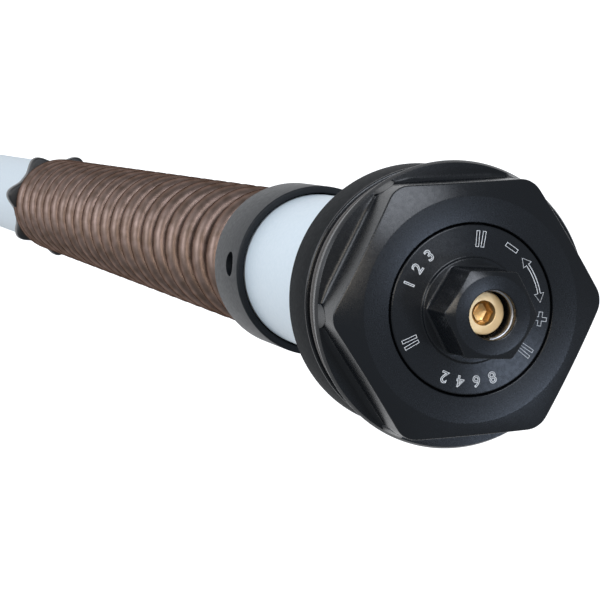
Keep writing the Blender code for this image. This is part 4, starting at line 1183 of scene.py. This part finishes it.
@dataclass
class MainSpring(SubAssembly):
    """The main spring, wound in two lengths that meet at one turn."""

    coil_radius: float = 13.143
    wire: float = 4.5
    top: float = -74.0
    bottom: float = -345.3
    ground: float = 0.6
    closed_rise: float = 5.2
    active_turns: float = 20.5
    split_turn: float = 2.25
    points_per_turn: int = 48
    sides: int = 40
    preload_travel: float = 12.0
    stroke: float = 120.0

    def start_height(self) -> float:
        """Return the height of the wire's centre at its upper end."""
        return self.top - self.wire / 2.0 + self.ground

    def active_rise(self) -> float:
        """Return the height that the active turns take up at rest."""
        centre_length = self.top - self.bottom - self.wire + 2.0 * self.ground
        return centre_length - 2.0 * self.closed_rise

    def split_height(self) -> float:
        """Return the height of the wire's centre where the two lengths meet."""
        share = (self.split_turn - CLOSED_TURNS) / self.active_turns
        return self.start_height() - self.closed_rise - self.active_rise() * share

    def build(self) -> None:
        """Wind both lengths, each on the cap's body."""
        rule = coil_rule()
        middle = self.split_height()
        upper = self.top - middle
        lower = middle - self.bottom
        last_turn = self.active_turns + 2.0 * CLOSED_TURNS
        for name, first, last, joint, length, travel in (
            ("spring_upper_coils", 0.0, self.split_turn, "preload_slide", upper, self.preload_travel),
            ("spring_lower_coils", self.split_turn, last_turn, "damper_stroke", lower, self.stroke),
        ):
            coils = grow(name, rule, {
                "Coil Radius": self.coil_radius * MM, "Wire Radius": self.wire / 2.0 * MM,
                "Start Height": self.start_height() * MM, "Top": self.top * MM, "Bottom": self.bottom * MM,
                "First Turn": first, "Last Turn": last, "Active Turns": self.active_turns,
                "Active Rise": self.active_rise() * MM, "Closed Rise": self.closed_rise * MM,
                "Points": round((last - first) * self.points_per_turn) + 1, "Sides": self.sides,
                "Material": self.finishes[Slot.SPRING_STEEL]})
            self.dress(coils, Body.CAP, Slot.SPRING_STEEL, "main_spring")
            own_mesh(coils)


@dataclass
class SpringSeat(SubAssembly):
    """The lobed seat that centres the spring on the damper's head."""

    bore: float = 8.6
    spigot_radius: float = 9.95
    spigot_top: float = -338.6
    seat_top: float = -345.6
    seat_end: float = -350.6
    rim_radius: float = 14.4
    upper_round: float = 1.2
    lower_round: float = 0.8
    lobes: int = 7
    lobe_height: float = 2.9
    lobe_sharpness: float = 1.5
    lobe_angle: float = math.radians(164.7)

    def column(self, angle: float) -> list[Point]:
        """Return the seat's profile at an angle."""
        wave = 0.5 + 0.5 * math.cos(self.lobes * (angle - self.lobe_angle))
        rim = self.rim_radius + self.lobe_height * wave ** self.lobe_sharpness
        return rounded([
            (self.bore, self.spigot_top, BROKEN), (self.spigot_radius, self.spigot_top, FULL),
            (self.spigot_radius, self.seat_top, BROKEN), (rim, self.seat_top, self.upper_round),
            (rim, self.seat_end, self.lower_round), (self.bore, self.seat_end, BROKEN)])

    def build(self) -> None:
        """Add the seat."""
        mesh = turned_mesh("lobed_seat", self.column, round_angles(self.lobes * FLAT_STEPS))
        self.dress(link_object("lobed_seat", mesh), Body.DAMPER, Slot.BLACK_PLASTIC, "spring_seat")


@dataclass
class Damper(SubAssembly):
    """The piston rod, and the tube that slides on it with its head and its foot."""

    rod_radius: float = 6.0
    rod_bore: float = 2.6
    rod_top: float = -2.4
    rod_shoulder: float = -385.9
    rod_spigot: float = 4.0
    rod_end: float = -409.4
    orifice_radius: float = 1.2
    orifice_top: float = -403.4
    guide_radius: float = 6.3
    pocket_radius: float = 7.5
    neck_radius: float = 8.3
    neck_top: float = -339.9
    seal_floor: float = -345.7
    flange_top: float = -350.9
    flange_end: float = -353.9
    plug_radius: float = 11.7
    head_end: float = -375.9
    bush_top: float = -363.6
    seal_section: float = 1.8
    tube_bore: float = 12.0
    tube_radius: float = 13.75
    tube_top: float = -354.2
    tube_end: float = -566.6
    oil_holes: Holes = Holes(count=4, first_angle=0.0, height=-550.4, radius=2.5)
    boss_radius: float = 6.0
    boss_top: float = -546.9
    bolt_floor: float = -559.2
    bolt_bore: float = 3.3
    plug_top: float = -553.9
    foot_flange_top: float = -566.9
    foot_flange_end: float = -570.4
    foot_radius: float = 11.0
    foot_round: float = 0.7
    foot_end: float = -585.4
    foot_floor: float = -567.4
    thread_root: float = 4.95
    thread_core: float = 4.25
    thread_pitch: float = 1.5
    thread_turns: float = 9.0
    thread_inset: float = 2.0

    def build_rod(self) -> None:
        """Add the hard-chromed rod."""
        rod = [
            (self.rod_bore, self.rod_top, BROKEN), (self.rod_radius, self.rod_top, ROUND),
            (self.rod_radius, self.rod_shoulder, BROKEN), (self.rod_spigot, self.rod_shoulder, FINE),
            (self.rod_spigot, self.rod_end, SMOOTH), (self.orifice_radius, self.rod_end, FINE),
            (self.orifice_radius, self.orifice_top, SHARP), (self.rod_bore, self.orifice_top, SHARP)]
        self.turn("chromed_piston_rod", rod, Body.CAP, Slot.CHROMED_ROD, "piston_rod", SMALL_SEGMENTS)

    def build_head(self) -> None:
        """Add the head that closes the top of the damper, with its seal."""
        seal_middle = (self.flange_end + self.head_end) / 2.0
        head = [
            (self.pocket_radius, self.neck_top, FINE), (self.neck_radius, self.neck_top, SOFT),
            (self.neck_radius, self.flange_top, BROKEN), (self.tube_radius, self.flange_top, SMOOTH),
            (self.tube_radius, self.flange_end, SOFT), (self.plug_radius, self.flange_end, FINE),
            *seal_groove(self.plug_radius, self.seal_section, seal_middle),
            (self.plug_radius, self.head_end, SMOOTH), (self.pocket_radius, self.head_end, FINE),
            (self.pocket_radius, self.bush_top, SHARP), (self.guide_radius, self.bush_top, SHARP),
            (self.guide_radius, self.seal_floor, SHARP), (self.pocket_radius, self.seal_floor, SHARP)]
        self.turn("damper_head", head, Body.DAMPER, Slot.BLACK_ANODISED, "seal_head")
        self.seal("head_seal", self.plug_radius, self.seal_section, seal_middle, Body.DAMPER)

    def build_tube(self) -> None:
        """Add the damper tube with its oil holes."""
        wall = wall_corners(self.tube_bore, self.tube_radius, self.tube_top, self.tube_end, BROKEN, SMOOTH)
        tube = self.oil_holes.drill("drilled_damper_tube", wall, self.finishes[Slot.CLEAR_ANODISED])
        self.dress(tube, Body.DAMPER, Slot.CLEAR_ANODISED, "damper_tube")

    def build_foot(self) -> None:
        """Add the plug and foot, with the thread for the fork's bottom bolt and the plug's seal."""
        seal_middle = (self.plug_top + self.foot_flange_top) / 2.0
        foot = [
            (0.0, self.bolt_floor, SHARP), (self.bolt_bore, self.bolt_floor, SHARP),
            (self.bolt_bore, self.boss_top, FINE), (self.boss_radius, self.boss_top, SMOOTH),
            (self.boss_radius, self.plug_top, SOFT), (self.plug_radius, self.plug_top, SMOOTH),
            *seal_groove(self.plug_radius, self.seal_section, seal_middle),
            (self.plug_radius, self.foot_flange_top, FINE), (self.tube_radius, self.foot_flange_top, SOFT),
            (self.tube_radius, self.foot_flange_end, ROUND), (self.foot_radius, self.foot_flange_end, FULL),
            (self.foot_radius, self.foot_end, self.foot_round), (self.thread_root, self.foot_end, SMOOTH),
            (self.thread_root, self.foot_floor, SHARP), (0.0, self.foot_floor, SHARP)]
        self.turn("threaded_foot", foot, Body.DAMPER, Slot.BLACK_ANODISED, "base_plug")
        ridge = self.thread_root - self.thread_core
        start = self.foot_end + self.thread_inset
        self.thread(
            "foot_thread", Body.DAMPER, self.thread_root, ridge, start, self.thread_pitch, self.thread_turns)
        self.seal("plug_seal", self.plug_radius, self.seal_section, seal_middle, Body.DAMPER)

    def build(self) -> None:
        """Add the rod, the head, the tube and the foot."""
        self.build_rod()
        self.build_head()
        self.build_tube()
        self.build_foot()


@dataclass
class InnerPieces(SubAssembly):
    """The frame's own nodes that stay: their shapes are right and each takes its finish."""

    def build(self) -> None:
        """Dress every node that still shows."""
        for part in frame["record"]["subparts"]:
            node = frame["nodes"][part["node"]]
            if node.hide_render:
                continue
            finish = self.finishes[Slot(part["material_slot"])]
            for slot in node.material_slots:
                slot.material = finish
            LOG.info("%s keeps its shape, in %s", node.name, finish.name)


@dataclass(frozen=True)
class Lamp:
    """One soft round lamp, with its distance and size in metres."""

    name: str
    towards: tuple[float, float, float]
    distance: float
    size: float
    watts: float
    colour: str

    def build(self) -> None:
        """Add the lamp, aimed at the cap."""
        light = bpy.data.lights.new(self.name, "AREA")
        light.shape = "DISK"
        light.size = self.size
        light.energy = self.watts
        light.color = linear_colour(self.colour)[:3]
        lamp = link_object(self.name, light)
        direction = Vector(self.towards).normalized()
        lamp.location = direction * self.distance
        lamp.rotation_euler = direction.to_track_quat("Z", "Y").to_euler()


@dataclass
class Studio:
    """The pale floor, the lamps, the world and the camera at the picture's place."""

    floor_height: float = -585.5
    floor_half: float = 4.0
    floor_colour: str = "#c4c4c4"
    floor_roughness: float = 0.9
    glow_colour: str = "#ffffff"
    floor_glow: float = 0.85
    world_colour: str = "#cdd3da"
    world_strength: float = 0.54
    lens: float = 122.2
    sensor: float = 36.0
    clip_start: float = 0.01
    clip_end: float = 20.0
    # The camera's place in metres, and the ways that it looks and stands, fitted to the picture
    eye: tuple[float, float, float] = (-0.1225, 0.0384, 0.3342)
    ahead: tuple[float, float, float] = (0.2885, -0.1073, -0.9515)
    upward: tuple[float, float, float] = (0.0695, 0.9934, -0.0910)
    lamps: tuple[Lamp, ...] = (
        Lamp("top_lamp", (0.03, 0.45, 0.89), distance=1.3, size=0.65, watts=9.0, colour="#eef4ff"),
        Lamp("right_lamp", (0.46, -0.27, 0.85), distance=1.4, size=0.30, watts=2.1, colour="#d0e2ff"),
        Lamp("left_lamp", (-0.90, 0.38, 0.15), distance=1.3, size=0.7, watts=9.3, colour="#f0f6ff"),
        Lamp("front_lamp", (-0.45, 0.22, 0.865), distance=1.3, size=0.5, watts=4.5, colour="#fff4e4"),
    )

    def floor_material(self) -> Material:
        """Make the floor's matt white: it glows where it is seen, and is clear from below."""
        material, tree, shader = new_material("matt_white_floor")
        shader.inputs["Base Color"].default_value = linear_colour(self.floor_colour)
        shader.inputs["Roughness"].default_value = self.floor_roughness
        shader.inputs["Emission Color"].default_value = linear_colour(self.glow_colour)
        ray = add_node(tree, "ShaderNodeLightPath").outputs
        seen = calculate(tree, "MAXIMUM", ray["Is Camera Ray"], ray["Is Glossy Ray"])
        seen = calculate(tree, "MAXIMUM", seen, ray["Is Transmission Ray"])
        glow = calculate(tree, "MULTIPLY", seen, self.floor_glow)
        tree.links.new(glow, shader.inputs["Emission Strength"])
        side = add_node(tree, "ShaderNodeNewGeometry").outputs["Backfacing"]
        tree.links.new(calculate(tree, "SUBTRACT", 1.0, side), shader.inputs["Alpha"])
        return material

    def build_floor(self) -> None:
        """Add the floor under the foot."""
        half = self.floor_half
        height = self.floor_height * MM
        mesh = bpy.data.meshes.new("floor")
        corners = [(-half, -half, height), (half, -half, height), (half, half, height), (-half, half, height)]
        mesh.from_pydata(corners, [], [(0, 1, 2, 3)])
        mesh.materials.append(self.floor_material())
        link_object("floor", mesh)

    def build_camera(self) -> None:
        """Add the camera that was fitted to the picture."""
        camera = bpy.data.cameras.new("camera")
        camera.lens = self.lens
        camera.sensor_width = self.sensor
        camera.clip_start = self.clip_start
        camera.clip_end = self.clip_end
        back = -Vector(self.ahead).normalized()
        side = Vector(self.upward).cross(back).normalized()
        turn = Matrix((side, back.cross(side), back)).transposed().to_4x4()
        item = link_object("camera", camera)
        item.matrix_world = Matrix.Translation(Vector(self.eye)) @ turn
        bpy.context.scene.camera = item

    def build(self) -> None:
        """Add everything around the part."""
        scene = bpy.context.scene
        scene.view_settings.view_transform = "Standard"
        world = bpy.data.worlds.new("studio")
        world.use_nodes = True
        background = world.node_tree.nodes["Background"]
        background.inputs["Color"].default_value = linear_colour(self.world_colour)
        background.inputs["Strength"].default_value = self.world_strength
        scene.world = world
        self.build_floor()
        for lamp in self.lamps:
            lamp.build()
        self.build_camera()


def main() -> None:
    """Build the pieces, dress the frame and add the studio."""
    logging.basicConfig(level=logging.INFO, format="%(name)s: %(message)s")
    finishes = {slot: finish.material() for slot, finish in FINISHES.items()}
    ForkCap(finishes, BLACK_BLASTED.material()).build()
    PreloadAdjuster(finishes, LASER_MARK.material()).build()
    DampingScrew(finishes, SOCKET_BRASS_PAINTED_SHADE.material()).build()
    PreloadSlider(finishes, BLACK_SATIN.material()).build()
    MainSpring(finishes).build()
    SpringSeat(finishes).build()
    Damper(finishes).build()
    InnerPieces(finishes).build()
    Studio().build()


if __name__ == "__main__":
    main()
